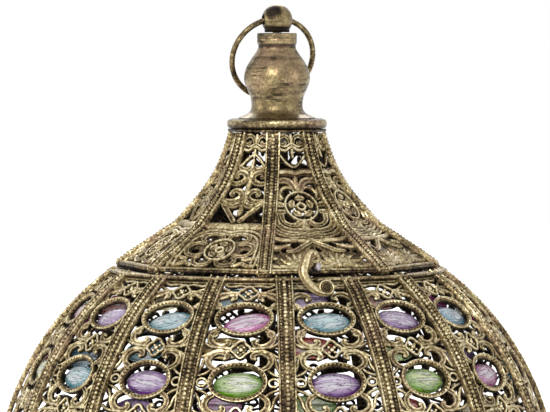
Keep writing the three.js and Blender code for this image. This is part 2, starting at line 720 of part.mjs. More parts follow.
// The ring hangs in the ball and leans on the back of the vase or the flare
function ringPoint(lean, angle) {
  const hang = RING.radius - RING.play - RING.radius * Math.cos(angle);
  return new THREE.Vector3(RING.radius * Math.sin(angle), hang * Math.sin(lean), ballCentre - hang * Math.cos(lean));
}

function ringGap(lean) {
  const outline = [...finialOutline(FLARE, flareBottom), ...finialOutline(VASE, vaseBottom),
    ...finialOutline(COLLAR, collarBottom)].map(([r, z]) => new THREE.Vector3(r, 0, z));
  const near = new THREE.Vector3();
  let gap = Infinity;
  for (let angle = RING_SEARCH.firstAngle; angle <= Math.PI; angle += RING_SEARCH.angleStep) {
    const point = ringPoint(lean, angle);
    const flat = new THREE.Vector3(Math.hypot(point.x, point.y), 0, point.z);
    for (let i = 0; i + 1 < outline.length; i += 1) {
      const edge = new THREE.Line3(outline[i], outline[i + 1]);
      edge.closestPointToPoint(flat, true, near);
      gap = Math.min(gap, near.distanceTo(flat));
    }
  }
  return gap - RING.wire;
}

function restingLean() {
  let lean = RING_SEARCH.lean;
  while (lean > 0 && ringGap(lean - RING_SEARCH.leanStep) > SEAT) {
    lean -= RING_SEARCH.leanStep;
  }
  return lean;
}

const ringLean = restingLean();

function carryRing() {
  const ring = new THREE.TorusGeometry(RING.radius, RING.wire, RING.sides, RING.steps);
  ring.rotateX(Math.PI / 2).translate(0, 0, -(RING.radius - RING.play)).rotateX(ringLean);
  return outward(ring.translate(0, 0, ballCentre));
}

// Hinge: the lid's leaf holds the two outer knuckles, the body's leaf the middle one

const hingeY = eaveFace + SEAT + HINGE.barrel;
const hingeZ = topHoopTop + SEAT + HINGE.barrel;
const knuckle = HINGE.length / 3 - SEAT;

function barrel(length, x) {
  return turnedSleeve(HINGE.bore, HINGE.barrel, -length / 2, length / 2, HINGE.sides)
    .rotateY(Math.PI / 2)
    .translate(x, hingeY, hingeZ);
}

function hingeBore(length) {
  return new THREE.CylinderGeometry(HINGE.bore, HINGE.bore, length, HINGE.sides)
    .rotateX(Math.PI / 2)
    .rotateY(Math.PI / 2)
    .translate(0, hingeY, hingeZ);
}

function lidLeaf() {
  const back = hingeY - HINGE.barrel + HINGE.leaf / 2;
  const plate = block(HINGE.length, HINGE.leaf, HINGE.lidRise, [0, back, hingeZ + HINGE.barrel + HINGE.lidRise / 2]);
  const pieces = [plate];
  for (const way of [-1, 1]) {
    const x = way * (HINGE.length - knuckle) / 2;
    const height = HINGE.barrel + HINGE.leaf;
    const web = block(knuckle, HINGE.leaf, height, [x, back, hingeZ + height / 2]);
    pieces.push(web, barrel(knuckle, x));
  }
  return cut(join(pieces), [hingeBore(HINGE.length + OVERRUN)]);
}

function bodyLeaf() {
  const plateZ = hingeZ - HINGE.barrel + HINGE.leaf / 2;
  const plate = block(knuckle, HINGE.bodyReach, HINGE.leaf, [0, hingeY + HINGE.bodyReach / 2, plateZ]);
  return cut(join([plate, barrel(knuckle, 0)]), [hingeBore(knuckle + OVERRUN)]);
}

function hingePin() {
  const pin = new THREE.CylinderGeometry(HINGE_PIN.radius, HINGE_PIN.radius, HINGE.length, HINGE_PIN.sides);
  return outward(pin.rotateZ(Math.PI / 2).translate(0, hingeY, hingeZ));
}

// Latch: everything lies in a plane through the rivet that leans back by LATCH.lean.
// In that plane x runs right, z up the slope, and y goes in from the hook's back face.

const latchHeight = topHoopTop - LATCH.below;
const latchReach = topHoopRadius + LATCH.ahead;
const latchPlane = new THREE.Matrix4().makeRotationX(-LATCH.lean).setPosition(LATCH.x, -latchReach, latchHeight);
const studAngle = Math.acos(HOOK_STUD.x / HOOK_STUD.reach);
const studRise = HOOK_STUD.reach * Math.sin(studAngle);
const tabBack = SEAT + LATCH_TAB.thickness;
const arcPoint = (radius, angle) => new THREE.Vector2(radius * Math.cos(angle), radius * Math.sin(angle));

function hookOutline() {
  const scaled = (shares) => shares.map(([x, z]) => new THREE.Vector2(x * HOOK.size, z * HOOK.size));
  const eye = Array.from({ length: HOOK.eyeSteps + 1 }, (_, i) => (
    arcPoint(HOOK.eye, HOOK.eyeArc * (2 * i / HOOK.eyeSteps - 1))
  ));
  return [...scaled(HOOK_CREST_SHARES), ...eye, ...scaled(HOOK_THROAT_SHARES), ...scaled(HOOK_TOOTH_SHARES)];
}

function latchHook() {
  const shape = new THREE.Shape(hookOutline());
  shape.holes.push(new THREE.Path().absarc(0, 0, HOOK.bore, 0, 2 * Math.PI, true));
  const plate = new THREE.ExtrudeGeometry(shape, {
    depth: HOOK.thickness,
    bevelEnabled: false,
    curveSegments: HOOK.boreSteps,
  });
  plate.rotateX(Math.PI / 2);
  return outward(plate.applyMatrix4(latchPlane));
}

function latchRivet() {
  const bottom = -SEAT;
  const top = HOOK.thickness + SEAT;
  const rivet = alongFront([[0, bottom], [RIVET.stem, bottom], [RIVET.stem, top], [RIVET.head, top],
    [RIVET.head * HEAD_TOP_SHARE, top + RIVET.headHeight], [0, top + RIVET.headHeight]], RIVET.sides);
  return outward(rivet.applyMatrix4(latchPlane));
}

function latchTab() {
  const top = TOP_HOOP.thickness / 2 + LATCH.below - TOP_HOOP.thickness;
  const height = top + LATCH_TAB.below;
  const plate = block(LATCH_TAB.width, LATCH_TAB.thickness, height,
    [0, 2 * SEAT + LATCH_TAB.thickness / 2, height / 2 - LATCH_TAB.below]);
  const front = latchReach - tabBack;
  const back = topHoopRadius - TOP_HOOP.width / 2;
  const bridge = block(LATCH_TAB.width, front - back, TOP_HOOP.thickness,
    [LATCH.x, -(front + back) / 2, (topHoopBottom + topHoopTop) / 2]);
  return [plate.applyMatrix4(latchPlane), bridge];
}

function latchStud() {
  const foot = -LUG.gap + SEAT;
  const top = HOOK.thickness + SEAT;
  const stud = alongFront([[0, foot], [HOOK_STUD.stem, foot], [HOOK_STUD.stem, top], [HOOK_STUD.head, top],
    [HOOK_STUD.head, top + HOOK_STUD.headHeight / 2], [HOOK_STUD.head * HEAD_TOP_SHARE, top + HOOK_STUD.headHeight],
    [0, top + HOOK_STUD.headHeight]], HOOK_STUD.sides);
  return outward(stud.translate(HOOK_STUD.x, 0, studRise).applyMatrix4(latchPlane));
}

// Lug on the eave that carries the stud, clear behind the hook
function studLug() {
  const lugX = LATCH.x + HOOK_STUD.x;
  const lowest = (eaveBottom - latchHeight) / Math.cos(LATCH.lean) + LUG.thickness;
  const height = studRise + LUG.above - lowest;
  const plate = block(LUG.width, LUG.thickness, height,
    [HOOK_STUD.x, LUG.gap + LUG.thickness / 2, lowest + height / 2]);
  const front = latchReach - LUG.gap - LUG.thickness / 2 - (eaveTop - latchHeight) * Math.tan(LATCH.lean);
  const back = eaveFace - EAVE.width / 2;
  const arm = block(LUG.width, front - back, LUG.thickness, [lugX, -(front + back) / 2, eaveTop - LUG.thickness / 2]);
  return [plate.applyMatrix4(latchPlane), arm];
}

// Assembly

addPiece('base_plate', turnedSleeve(NIPPLE.radius + SEAT, plateRadius, plateBottom, plateTop, BASE_PLATE.sides),
  COLOURS.darkBrass);
addPiece('foot', foot(), COLOURS.brass);
addPiece('cord_bush', cordBush(), COLOURS.black);
for (let i = 0; i < PAD.count; i += 1) {
  addPiece(`foot_pad_${i + 1}`, footPad(i), COLOURS.black);
}
addPiece('lampholder_nipple', lampholderNipple(), COLOURS.steel);
addPiece('nipple_nut', nippleNut(), COLOURS.steel);
addPiece('lampholder_body', lampholderBody(), COLOURS.white);
addPiece('lampholder_collar', lampholderCollar(), COLOURS.white);
addPiece('bulb_cap', bulbCap(), COLOURS.steel);
addPiece('bulb_glass', bulbGlass(), COLOURS.glass);
addPiece('body_frame', bodyFrame(), COLOURS.brass);
for (let i = 0; i < BODY_SIDES; i += 1) {
  addPiece(`body_panel_${padded(i + 1)}`, bodyPanel(i), COLOURS.darkBrass);
}
for (let row = 0; row < ROW_COUNT; row += 1) {
  const name = `gem_row_${ROW_COUNT - row}`;
  addPiece(name, gemRow(row), { color: GEM_COLOURS[row % GEM_COLOURS.length], roughness: 0.15, metalness: 0 });
}
addPiece('latch_hook', latchHook(), COLOURS.brass);
addPiece('latch_rivet', latchRivet(), COLOURS.darkBrass);
addPiece('hinge_leaf_body', bodyLeaf(), COLOURS.darkBrass);
addPiece('hinge_pin', hingePin(), COLOURS.steel);
addPiece('hinge_leaf_lid', lidLeaf(), COLOURS.darkBrass);
addPiece('roof_frame', roofFrame(), COLOURS.brass);
for (let i = 0; i < ROOF_SIDES; i += 1) {
  addPiece(`roof_panel_${i + 1}`, roofPanel(i), COLOURS.darkBrass);
}
addPiece('latch_stud', latchStud(), COLOURS.brass);
addPiece('cap_plate', turnedBead(CAP, capPlateBottom), COLOURS.brass);
addPiece('finial_flare', turnedBead(FLARE, flareBottom), COLOURS.brass);
addPiece('finial_vase', turnedBead(VASE, vaseBottom), COLOURS.brass);
addPiece('finial_collar', turnedBead(COLLAR, collarBottom), COLOURS.brass);
addPiece('finial_ball', finialBall(), COLOURS.brass);
addPiece('finial_stud', finialStud(), COLOURS.steel);
addPiece('stud_washer', turnedSleeve(STUD.radius + SEAT, WASHER.radius, washerTop - WASHER.thickness, washerTop,
  FINIAL_SIDES), COLOURS.steel);
addPiece('stud_nut', studNut(), COLOURS.steel);
addPiece('carry_ring', carryRing(), COLOURS.brass);

console.log('joints, mm:', JSON.stringify({
  bodyCentre,
  topHoopTop,
  eaveBottom,
  hinge: [0, hingeY, hingeZ],
  ringAxis: [0, 0, ballCentre],
  ringLeanDegrees: THREE.MathUtils.radToDeg(ringLean),
  latch: [LATCH.x, -latchReach, latchHeight],
  ballCentre,
  crownTop,
}));

export default lamp;
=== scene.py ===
import math

import bmesh
import bpy
import numpy as np
from mathutils import Matrix, Vector


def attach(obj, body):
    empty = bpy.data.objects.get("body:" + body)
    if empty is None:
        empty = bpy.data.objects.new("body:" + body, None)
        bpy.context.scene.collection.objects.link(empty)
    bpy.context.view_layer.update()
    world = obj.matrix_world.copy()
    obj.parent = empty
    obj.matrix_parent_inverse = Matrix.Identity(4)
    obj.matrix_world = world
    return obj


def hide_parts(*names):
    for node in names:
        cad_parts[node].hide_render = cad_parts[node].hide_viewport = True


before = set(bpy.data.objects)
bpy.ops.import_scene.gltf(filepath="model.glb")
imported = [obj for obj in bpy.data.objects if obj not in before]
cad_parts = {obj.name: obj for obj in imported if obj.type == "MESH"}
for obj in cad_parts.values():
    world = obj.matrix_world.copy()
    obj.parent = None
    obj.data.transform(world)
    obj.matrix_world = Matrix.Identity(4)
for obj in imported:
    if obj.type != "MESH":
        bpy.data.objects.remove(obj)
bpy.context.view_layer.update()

# Openwork brass lantern: pierced body strips strung with glass gems, and a hinged pagoda lid.
# Shapes are worked out in millimetres, +Z up, front along -Y, and become metres in make_piece.

MM = 0.001


def deg(angle):
    return math.radians(angle)


# Body: strips flat across and round along the meridian
BODY_SIDES = 16
BODY_TURN = deg(-4.4)
STRIP_RADIUS = 122.0
BODY_CENTRE = 93.41
ROW_COUNT = 6
ROW_PITCH = deg(14.4)
TOP_ROW = deg(43.2)
LATITUDES = {"bottom": deg(-36), "top": deg(54), "bottom_hoop": deg(-36.55), "top_hoop": deg(54.77)}
BODY_RIB_HALF = 3.65
TOP_HOOP = {"outer": 74.71, "width": 8.0, "bottom": 192.41, "height": 1.3}
BOTTOM_HOOP = {"outer": 101.1, "width": 10.0, "bottom": 20.1, "height": 1.3}

# Oval settings, gems and the wire through them
BEZEL = {"u": 11.6, "v": 7.9, "band": 2.1, "bead": 0.8, "pitch": 1.8}
GEM = {"length": 21.3, "height": 11.6, "thickness": 6.4, "depth": -2.5, "sag": -0.5, "bulge": 0.92,
       "slices": 28, "rings": 14, "sharp": 80}
WIRE = {"radius": 0.45, "depth": -2.4, "sides": 8}
WIDE_STRIP = 15.0
WELD = 0.002

# Lid: eight strips curving up from the eave to the crown
ROOF_SIDES = 8
EAVE = {"radius": 71.31, "width": 6.0, "bottom": 194.91, "height": 2.2}
CROWN = {"radius": 21.9, "bottom": 253.71, "height": 1.3}
ROOF_BOTTOM = 197.41
ROOF_RISE = 56.0
ROOF_COVER = 2.5
ROOF_RIB_HALF = 3.1
GROUND = {"low": -0.6, "high": 0.2, "margin": 0.5, "pitch": 2.2, "mark": 0.4}
LID_FOOT = {"side": 5.0, "height": 2.0, "middle": 195.0, "inset": 0.3}
ROOF_HEIGHT_SHARES = (0, 0.08, 0.157, 0.233, 0.31, 0.415, 0.54, 0.693, 0.844, 1)
ROOF_RADIUS_SHARES = (1, 0.876, 0.743, 0.613, 0.48, 0.372, 0.249, 0.134, 0.057, 0)

# Foot, with the hole for the cord's bush in its back
FOOT_RADIUS = 93.6
BUSH = {"hole": 4.4, "height": 10.78, "back": 90, "length": 20}

# Bulb: its globe, the wall of it and the screw of its base
BULB = {"centre": 85.7, "radius": 22.4, "wall": 1.0, "screw": 35.0, "turns": 9, "pitch": 2.2}

# Sharpest bend in degrees that still shades smooth on a turned piece
TURNED_SHARP = 38

# Finial and carry ring
BORE = 2.3
FINIAL = {"cap": 255.31, "flare": 259.71, "vase": 268.61, "collar": 290.11, "ball": 297.21}
# The ball's dark patch below is a painted dark reflection on its polished face.
BALL = {"centre": 302.61, "radius": 6.8, "hole": 2.15, "neck": 5.5, "neck_height": 1.4,
        "dark_patch": (-0.485, -0.684, 0.61), "patch_reach": 2.9, "patch_dark": 0.85}
RING = {"radius": 18.5, "wire": 1.22, "play": 0.65, "lean": deg(21.25)}

# Hook latch, in a plane that leans back from its rivet
LATCH = {"x": -3.8, "reach": 78.02, "height": 189.71, "lean": deg(20)}
HOOK = {"size": 20.0, "thickness": 1.3, "eye": 3.7, "bore": 1.5, "bevel": 0.4}
STUD = {"x": -2.9, "up": 9.15, "lug": 3.6, "above": 2.4, "thickness": 1.3, "behind": 1.75}
TAB = {"width": 5.6, "thickness": 1.2, "tall": 4.65, "up": 1.025, "inset": 1.5}

# Camera: seen from the left of the front, slightly from above, with a long lens
CAMERA = {"azimuth": deg(-18), "elevation": deg(4.81), "distance": 1.76, "target": 0.14973, "lens": 261.8}
FRAME_SIZE = (550, 412)
TARGET_PIXEL = (277, 368)
SENSOR_WIDTH = 36

# Soft lights: place, target, size, power and colour
LIGHTS = {
    "key_softbox": ((-1.1, -1.5, 1.2), (0, 0, 0.18), (1.2, 1.2), 27, (1.0, 0.99, 0.97)),
    "fill_softbox": ((1.5, -1.4, 0.7), (0, 0, 0.18), (1.2, 1.2), 7, (0.97, 0.98, 1.0)),
    "side_softbox": ((-2.2, 0.5, 0.7), (0, 0, 0.2), (1.2, 1.2), 10, (1, 1, 1)),
    "back_softbox": ((0.4, 1.8, 1.5), (0, 0, 0.2), (1.4, 1.0), 14, (1, 1, 1)),
}


# Surfaces: (across, along, depth) in millimetres to a place on the lantern


def place(facing, out, side, height):
    sine, cosine = np.sin(facing), np.cos(facing)
    return np.stack([out * sine + side * cosine, side * sine - out * cosine, height + 0 * out], axis=-1)


def body_facing(index):
    return BODY_TURN + index * 2 * math.pi / BODY_SIDES


def body_surface(facing, flat=math.cos(math.pi / BODY_SIDES)):
    """A strip's surface or, where flat is 1, that of the joint between two strips."""
    def at(uvd):
        u, v, d = np.asarray(uvd, float).T
        latitude = v / STRIP_RADIUS
        out = (STRIP_RADIUS * flat + d) * np.cos(latitude)
        return place(facing, out, u, BODY_CENTRE + (STRIP_RADIUS + d) * np.sin(latitude))

    return at


def smooth_path(points, steps, closed=False):
    """Catmull-Rom curve through the points, with this many steps to each stretch."""
    p = np.asarray(points, float)
    count = len(p)
    spans = count if closed else count - 1
    pick = (lambda i: p[i % count]) if closed else (lambda i: p[min(max(i, 0), count - 1)])
    out = []
    for i in range(spans):
        a, b, c, d = pick(i - 1), pick(i), pick(i + 1), pick(i + 2)
        for k in range(steps):
            t = k / steps
            out.append(0.5 * (2 * b + (c - a) * t + (2 * a - 5 * b + 4 * c - d) * t * t
                              + (3 * b - a - 3 * c + d) * t ** 3))
    if not closed:
        out.append(p[-1])
    return np.array(out)


def roof_line():
    """Corner radius and height of the lid strips' middle surface, their normal and their arc length."""
    rise = np.array(ROOF_HEIGHT_SHARES) * ROOF_RISE + ROOF_BOTTOM
    reach = CROWN["radius"] + np.array(ROOF_RADIUS_SHARES) * (EAVE["radius"] - CROWN["radius"])
    line = smooth_path(np.stack([reach, rise], axis=1), 8)
    step = np.gradient(line, axis=0)
    step /= np.linalg.norm(step, axis=1)[:, None]
    normal = np.stack([step[:, 1], -step[:, 0]], axis=1)
    line = line - normal * ROOF_COVER
    flat = line * [math.cos(math.pi / ROOF_SIDES), 1]
    arc = np.concatenate([[0], np.cumsum(np.linalg.norm(np.diff(flat, axis=0), axis=1))])
    return line, normal, arc


ROOF_LINE, ROOF_NORMAL, ROOF_ARC = roof_line()
ROOF_LENGTH = float(ROOF_ARC[-1])


def roof_at(v):
    """Corner radius, height and normal of the lid at an arc length."""
    return [np.interp(v, ROOF_ARC, column) for column in (*ROOF_LINE.T, *ROOF_NORMAL.T)]


def roof_facing(index):
    return index * 2 * math.pi / ROOF_SIDES


def roof_surface(facing, flat=math.cos(math.pi / ROOF_SIDES)):
    def at(uvd):
        u, v, d = np.asarray(uvd, float).T
        reach, height, normal_r, normal_z = roof_at(v)
        extra = np.maximum(v - ROOF_LENGTH, 0) + np.minimum(v, 0)
        return place(facing, reach * flat + d * normal_r, u, height + d * normal_z + extra)

    return at


def roof_half_width(v):
    return float(roof_at(v)[0]) * math.sin(math.pi / ROOF_SIDES) - ROOF_RIB_HALF


def body_half_width(v):
    return STRIP_RADIUS * math.cos(v / STRIP_RADIUS) * math.sin(math.pi / BODY_SIDES) - BODY_RIB_HALF


# Relief work: strands, bosses and ovals, gathered as closed shells on a surface


def section(*half, crown=(), foot=0):
    """A strand's section as (across, rise, height mark) shares, from its right half and its crown."""
    return ((-1, 0, foot), (1, 0, foot), *half, *crown, *((-side, *rest) for side, *rest in reversed(half)))


SECTIONS = {
    "ridge": section((1, 0.45, 0.25), (0.5, 0.95, 0.9), crown=[(0, 1, 1)]),
    "channel": section((1, 0.55, 0.35), (0.8, 0.95, 0.85), (0.5, 0.95, 0.8), (0.2, 0.72, 0.42)),
    "moulded": section((1, 0.55, 0.5), (0.86, 0.78, 0.9), (0.66, 0.62, 0.3), (0.42, 0.95, 0.9),
                       crown=[(0, 1, 1)]),
    "domed": section((0.92, 0.4, 0.5), (0.7, 0.75, 0.72), (0.36, 0.95, 0.82), crown=[(0, 1, 0.86)],
                     foot=0.2),
    "bar": section((1, 0.8, 0.5), (0.8, 1, 0.95)),
    "collet": ((-1, 0, 0), (1, 0, 0), (1, 0.5, 0.3), (0.75, 0.85, 0.7), (0.45, 0.75, 0.35),
               (-0.3, 0.75, 0.35), (-0.6, 1, 0.95), (-0.85, 1, 0.95), (-1, 0.8, 0.4)),
}
BOSS_RINGS = ((1.0, 0.0, 0.1), (1.0, 0.3, 0.4), (0.78, 0.75, 0.8), (0.4, 0.97, 1.0))
SOFT_END = 0.45


def ring_faces(count, sides, closed):
    """Faces round a row of rings, with a cap at each end unless the row closes on itself."""
    faces = []
    for i in range(count if closed else count - 1):
        a, b = i * sides, ((i + 1) % count) * sides
        for k in range(sides):
            n = (k + 1) % sides
            faces.append((a + k, a + n, b + n, b + k))
    if not closed:
        faces.append(tuple(range(sides)))
        faces.append(tuple(range((count - 1) * sides, count * sides)))
    return faces


class Relief:
    """Closed shells in (across, along, depth), with a height mark on each point for the finish."""

    def __init__(self, swell=1.0):
        self.swell = swell
        self.points = []
        self.marks = []
        self.faces = []
        self.count = 0

    def add(self, points, marks, faces):
        self.points.append(np.asarray(points, float))
        self.marks.append(np.asarray(marks, float))
        self.faces.extend([tuple(i + self.count for i in face) for face in faces])
        self.count += len(points)

    def tube(self, rings, marks, closed):
        count, sides = rings.shape[:2]
        self.add(rings.reshape(-1, 3), np.tile(marks, count), ring_faces(count, sides, closed))

    def strand(self, path, width, high=0.8, shape="ridge", low=-0.6, closed=False, steps=5):
        line = smooth_path(path, steps, closed)
        count = len(line)
        width = np.atleast_1d(np.asarray(width, float)) * self.swell
        if len(width) > 1:
            width = np.interp(np.linspace(0, 1, count), np.linspace(0, 1, len(width)), width)
        half = np.full(count, 1.0) * width / 2
        if closed:
            step = np.roll(line, -1, axis=0) - np.roll(line, 1, axis=0)
        else:
            step = np.gradient(line, axis=0)
            half[[0, -1]] *= SOFT_END
        step /= np.linalg.norm(step, axis=1)[:, None] + 1e-9
        across = np.stack([-step[:, 1], step[:, 0]], axis=1)
        side, rise, mark = np.array(SECTIONS[shape]).T
        flat = line[:, None, :] + across[:, None, :] * (half[:, None] * side[None, :])[:, :, None]
        depth = np.broadcast_to(low + rise * (high - low), flat.shape[:2])
        self.tube(np.concatenate([flat, depth[:, :, None]], axis=2), mark, closed)

    def both(self, path, width, *how, **more):
        """A strand and its mirror image across the middle of the strip."""
        self.strand(path, width, *how, **more)
        self.strand([(-u, v) for u, v in path], width, *how, **more)

    def bow(self, half, width, *how, **more):
        """A strand from side to side, given from the middle of the strip outwards."""
        self.strand([(-u, v) for u, v in reversed(half[1:])] + half, width, *how, **more)

    def stem(self, heights, width, *how, **more):
        """A strand along the middle of the strip."""
        self.strand([(0, v) for v in heights], width, *how, **more)

    def oval(self, centre, half_u, half_v, width, high=0.8, shape="ridge", low=-0.6, count=20):
        angle = np.arange(count) * 2 * math.pi / count
        path = np.stack([centre[0] + half_u * np.cos(angle), centre[1] + half_v * np.sin(angle)], axis=1)
        self.strand(path, width, high, shape, low, closed=True, steps=1)

    def eyes(self, u, v, half_u, half_v, width, high=0.8, count=16):
        """An oval at each side of the middle."""
        for side in (-1, 1):
            self.oval((side * u, v), half_u, half_v, width, high, count=count)

    def lobed(self, centre, radius, depth, lobes, width, high, count):
        angle = np.arange(count) * 2 * math.pi / count
        reach = radius * (1 + depth * np.cos(lobes * angle))
        path = np.stack([centre[0] + reach * np.cos(angle), centre[1] + reach * np.sin(angle)], axis=1)
        self.strand(path, width, high, closed=True, steps=1)

    def boss(self, centre, radius, high=1.0, sides=9, low=-0.4):
        points = []
        for share, rise, _ in BOSS_RINGS:
            for k in range(sides):
                a = k * 2 * math.pi / sides
                points.append((centre[0] + radius * share * math.cos(a),
                               centre[1] + radius * share * math.sin(a), low + rise * (high - low)))
        marks = np.repeat([mark for _, _, mark in BOSS_RINGS], sides)
        self.add(points, marks, ring_faces(len(BOSS_RINGS), sides, closed=False))

    def on(self, surface=None):
        """Points on the surface, or as they are without one, with their marks and the faces."""
        points = np.concatenate(self.points)
        return surface(points) if surface else points, np.concatenate(self.marks), self.faces


def linked(name, data):
    item = bpy.data.objects.new(name, data)
    bpy.context.scene.collection.objects.link(item)
    return item


def evaluated_mesh(item):
    return bpy.data.meshes.new_from_object(item.evaluated_get(bpy.context.evaluated_depsgraph_get()))


def make_piece(name, shapes, body, material, replaces=(), sharp=45):
    """One object from (points, marks, faces) shapes in millimetres."""
    whole = Relief()
    for shape in shapes:
        whole.add(*shape)
    points, marks, faces = whole.on()
    mesh = bpy.data.meshes.new(name)
    mesh.from_pydata((points * MM).tolist(), [], faces)
    relief = mesh.attributes.new("relief", "FLOAT", "POINT")
    relief.data.foreach_set("value", marks.astype(np.float32))
    close_up(mesh, sharp)
    return settle(linked(name, mesh), body, material, replaces)


def close_up(mesh, sharp):
    work = bmesh.new()
    work.from_mesh(mesh)
    bmesh.ops.recalc_face_normals(work, faces=work.faces)
    work.to_mesh(mesh)
    work.free()
    soften(mesh, sharp)


def soften(mesh, sharp):
    mesh.shade_smooth()
    mesh.set_sharp_from_angle(angle=deg(sharp))


def settle(piece, body, material, replaces=()):
    if material is not None:
        piece.data.materials.clear()
        piece.data.materials.append(material)
    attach(piece, body)
    if replaces:
        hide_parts(*replaces)
    return piece


def turned(profile, sides=48, mark=0.7, marks=None):
    """A turned shape: (radius, height) points, closed on themselves or on the axis."""
    on_axis = [radius < 1e-6 for radius, _ in profile]
    points, point_marks, rows = [], [], []
    for (radius, height), centred, one in zip(profile, on_axis, marks or [mark] * len(profile)):
        count = 1 if centred else sides
        rows.append([len(points) + k % count for k in range(sides)])
        for k in range(count):
            a = k * 2 * math.pi / sides
            points.append((0, 0, height) if centred else (radius * math.cos(a), radius * math.sin(a), height))
            point_marks.append(one)
    loop = list(zip(rows, rows[1:]))
    if not (on_axis[0] and on_axis[-1]):
        loop.append((rows[-1], rows[0]))
    faces = []
    for low, high in loop:
        for k in range(sides):
            n = (k + 1) % sides
            face = tuple(dict.fromkeys((low[k], low[n], high[n], high[k])))
            if len(face) > 2:
                faces.append(face)
    return np.array(points, float), np.array(point_marks, float), faces


def moved(shape, matrix):
    points, marks, faces = shape
    return points @ np.array(matrix.to_3x3()).T + np.array(matrix.translation), marks, faces


def block(size, centre, mark=0.6, bevel=0.18):
    """A plate with chamfered edges all round."""
    x, y, z = (s / 2 for s in size)
    loops = []
    for height, inset in ((-z, bevel), (-z + bevel, 0), (z - bevel, 0), (z, bevel)):
        a, b = x - inset, y - inset
        loops.append([(-a, -b, height), (a, -b, height), (a, b, height), (-a, b, height)])
    points = np.array([p for loop in loops for p in loop], float) + np.array(centre, float)
    faces = [(0, 1, 2, 3), (12, 13, 14, 15)]
    for i in range(3):
        for k in range(4):
            n = (k + 1) % 4
            faces.append((i * 4 + k, i * 4 + n, i * 4 + 4 + n, i * 4 + 4 + k))
    return points, np.full(len(points), mark), faces


def swept_rib(surface, low, high, steps, outline):
    """A rib swept up a joint: its outline gives (side, depth, height mark)."""
    along = np.linspace(low, high, steps)
    side, depth, mark = np.array(outline).T
    rings = np.empty((steps, len(side), 3))
    rings[:, :, 0] = side
    rings[:, :, 1] = along[:, None]
    rings[:, :, 2] = depth
    work = Relief()
    work.tube(rings, mark, closed=False)
    return work.on(surface)


def hoop(sides, turn, profile):
    """A hoop with straight sides: profile gives (radius at the corner, height, height mark)."""
    angle = turn + np.arange(sides) * 2 * math.pi / sides
    rings = np.array([[(radius * math.sin(a), -radius * math.cos(a), height) for radius, height, _ in profile]
                      for a in angle])
    work = Relief()
    work.tube(rings, [mark for _, _, mark in profile], closed=True)
    return work.on()


# Finishes


def fill(tree, node, values):
    """Link each socket given to an input of the node, and set its other inputs to the plain values."""
    for key, value in values.items():
        if isinstance(value, bpy.types.NodeSocket):
            tree.links.new(value, node.inputs[key])
        else:
            node.inputs[key].default_value = value
    return node


def add_node(tree, kind, inputs=None, **settings):
    node = tree.nodes.new(kind)
    for key, value in settings.items():
        setattr(node, key, value)
    return fill(tree, node, inputs or {})


def maths(tree, operation, a, b=0.0, clamp=False):
    return add_node(tree, "ShaderNodeMath", {0: a, 1: b}, operation=operation, use_clamp=clamp).outputs[0]


def stretched(tree, value, start, gain):
    """0 up to the start, then a rise at this rate up to 1."""
    return maths(tree, "MULTIPLY", maths(tree, "SUBTRACT", value, start), gain, clamp=True)


def blended(tree, share, a, b):
    return add_node(tree, "ShaderNodeMix", {0: share, 6: a, 7: b}, data_type="RGBA").outputs[2]


def object_place(tree):
    return add_node(tree, "ShaderNodeTexCoord").outputs["Object"]


def ramp(tree, value, stops):
    node = add_node(tree, "ShaderNodeValToRGB", {0: value})
    points = node.color_ramp.elements
    while len(points) < len(stops):
        points.new(0.5)
    for point, (position, colour) in zip(points, stops):
        point.position = position
        point.color = (*colour, 1)
    return node.outputs[0]


def noise(tree, vector, scale, detail=4.0, rough=0.55):
    node = add_node(tree, "ShaderNodeTexNoise",
                    {"Vector": vector, "Scale": scale, "Detail": detail, "Roughness": rough})
    return node.outputs["Fac"]


def shader_group(name, inputs, outputs):
    tree = bpy.data.node_groups.new(name, "ShaderNodeTree")
    for label, kind, default in inputs:
        socket = tree.interface.new_socket(label, in_out="INPUT", socket_type=kind)
        socket.default_value = default
    for label, kind in outputs:
        tree.interface.new_socket(label, in_out="OUTPUT", socket_type=kind)
    return tree, tree.nodes.new("NodeGroupInput"), tree.nodes.new("NodeGroupOutput")


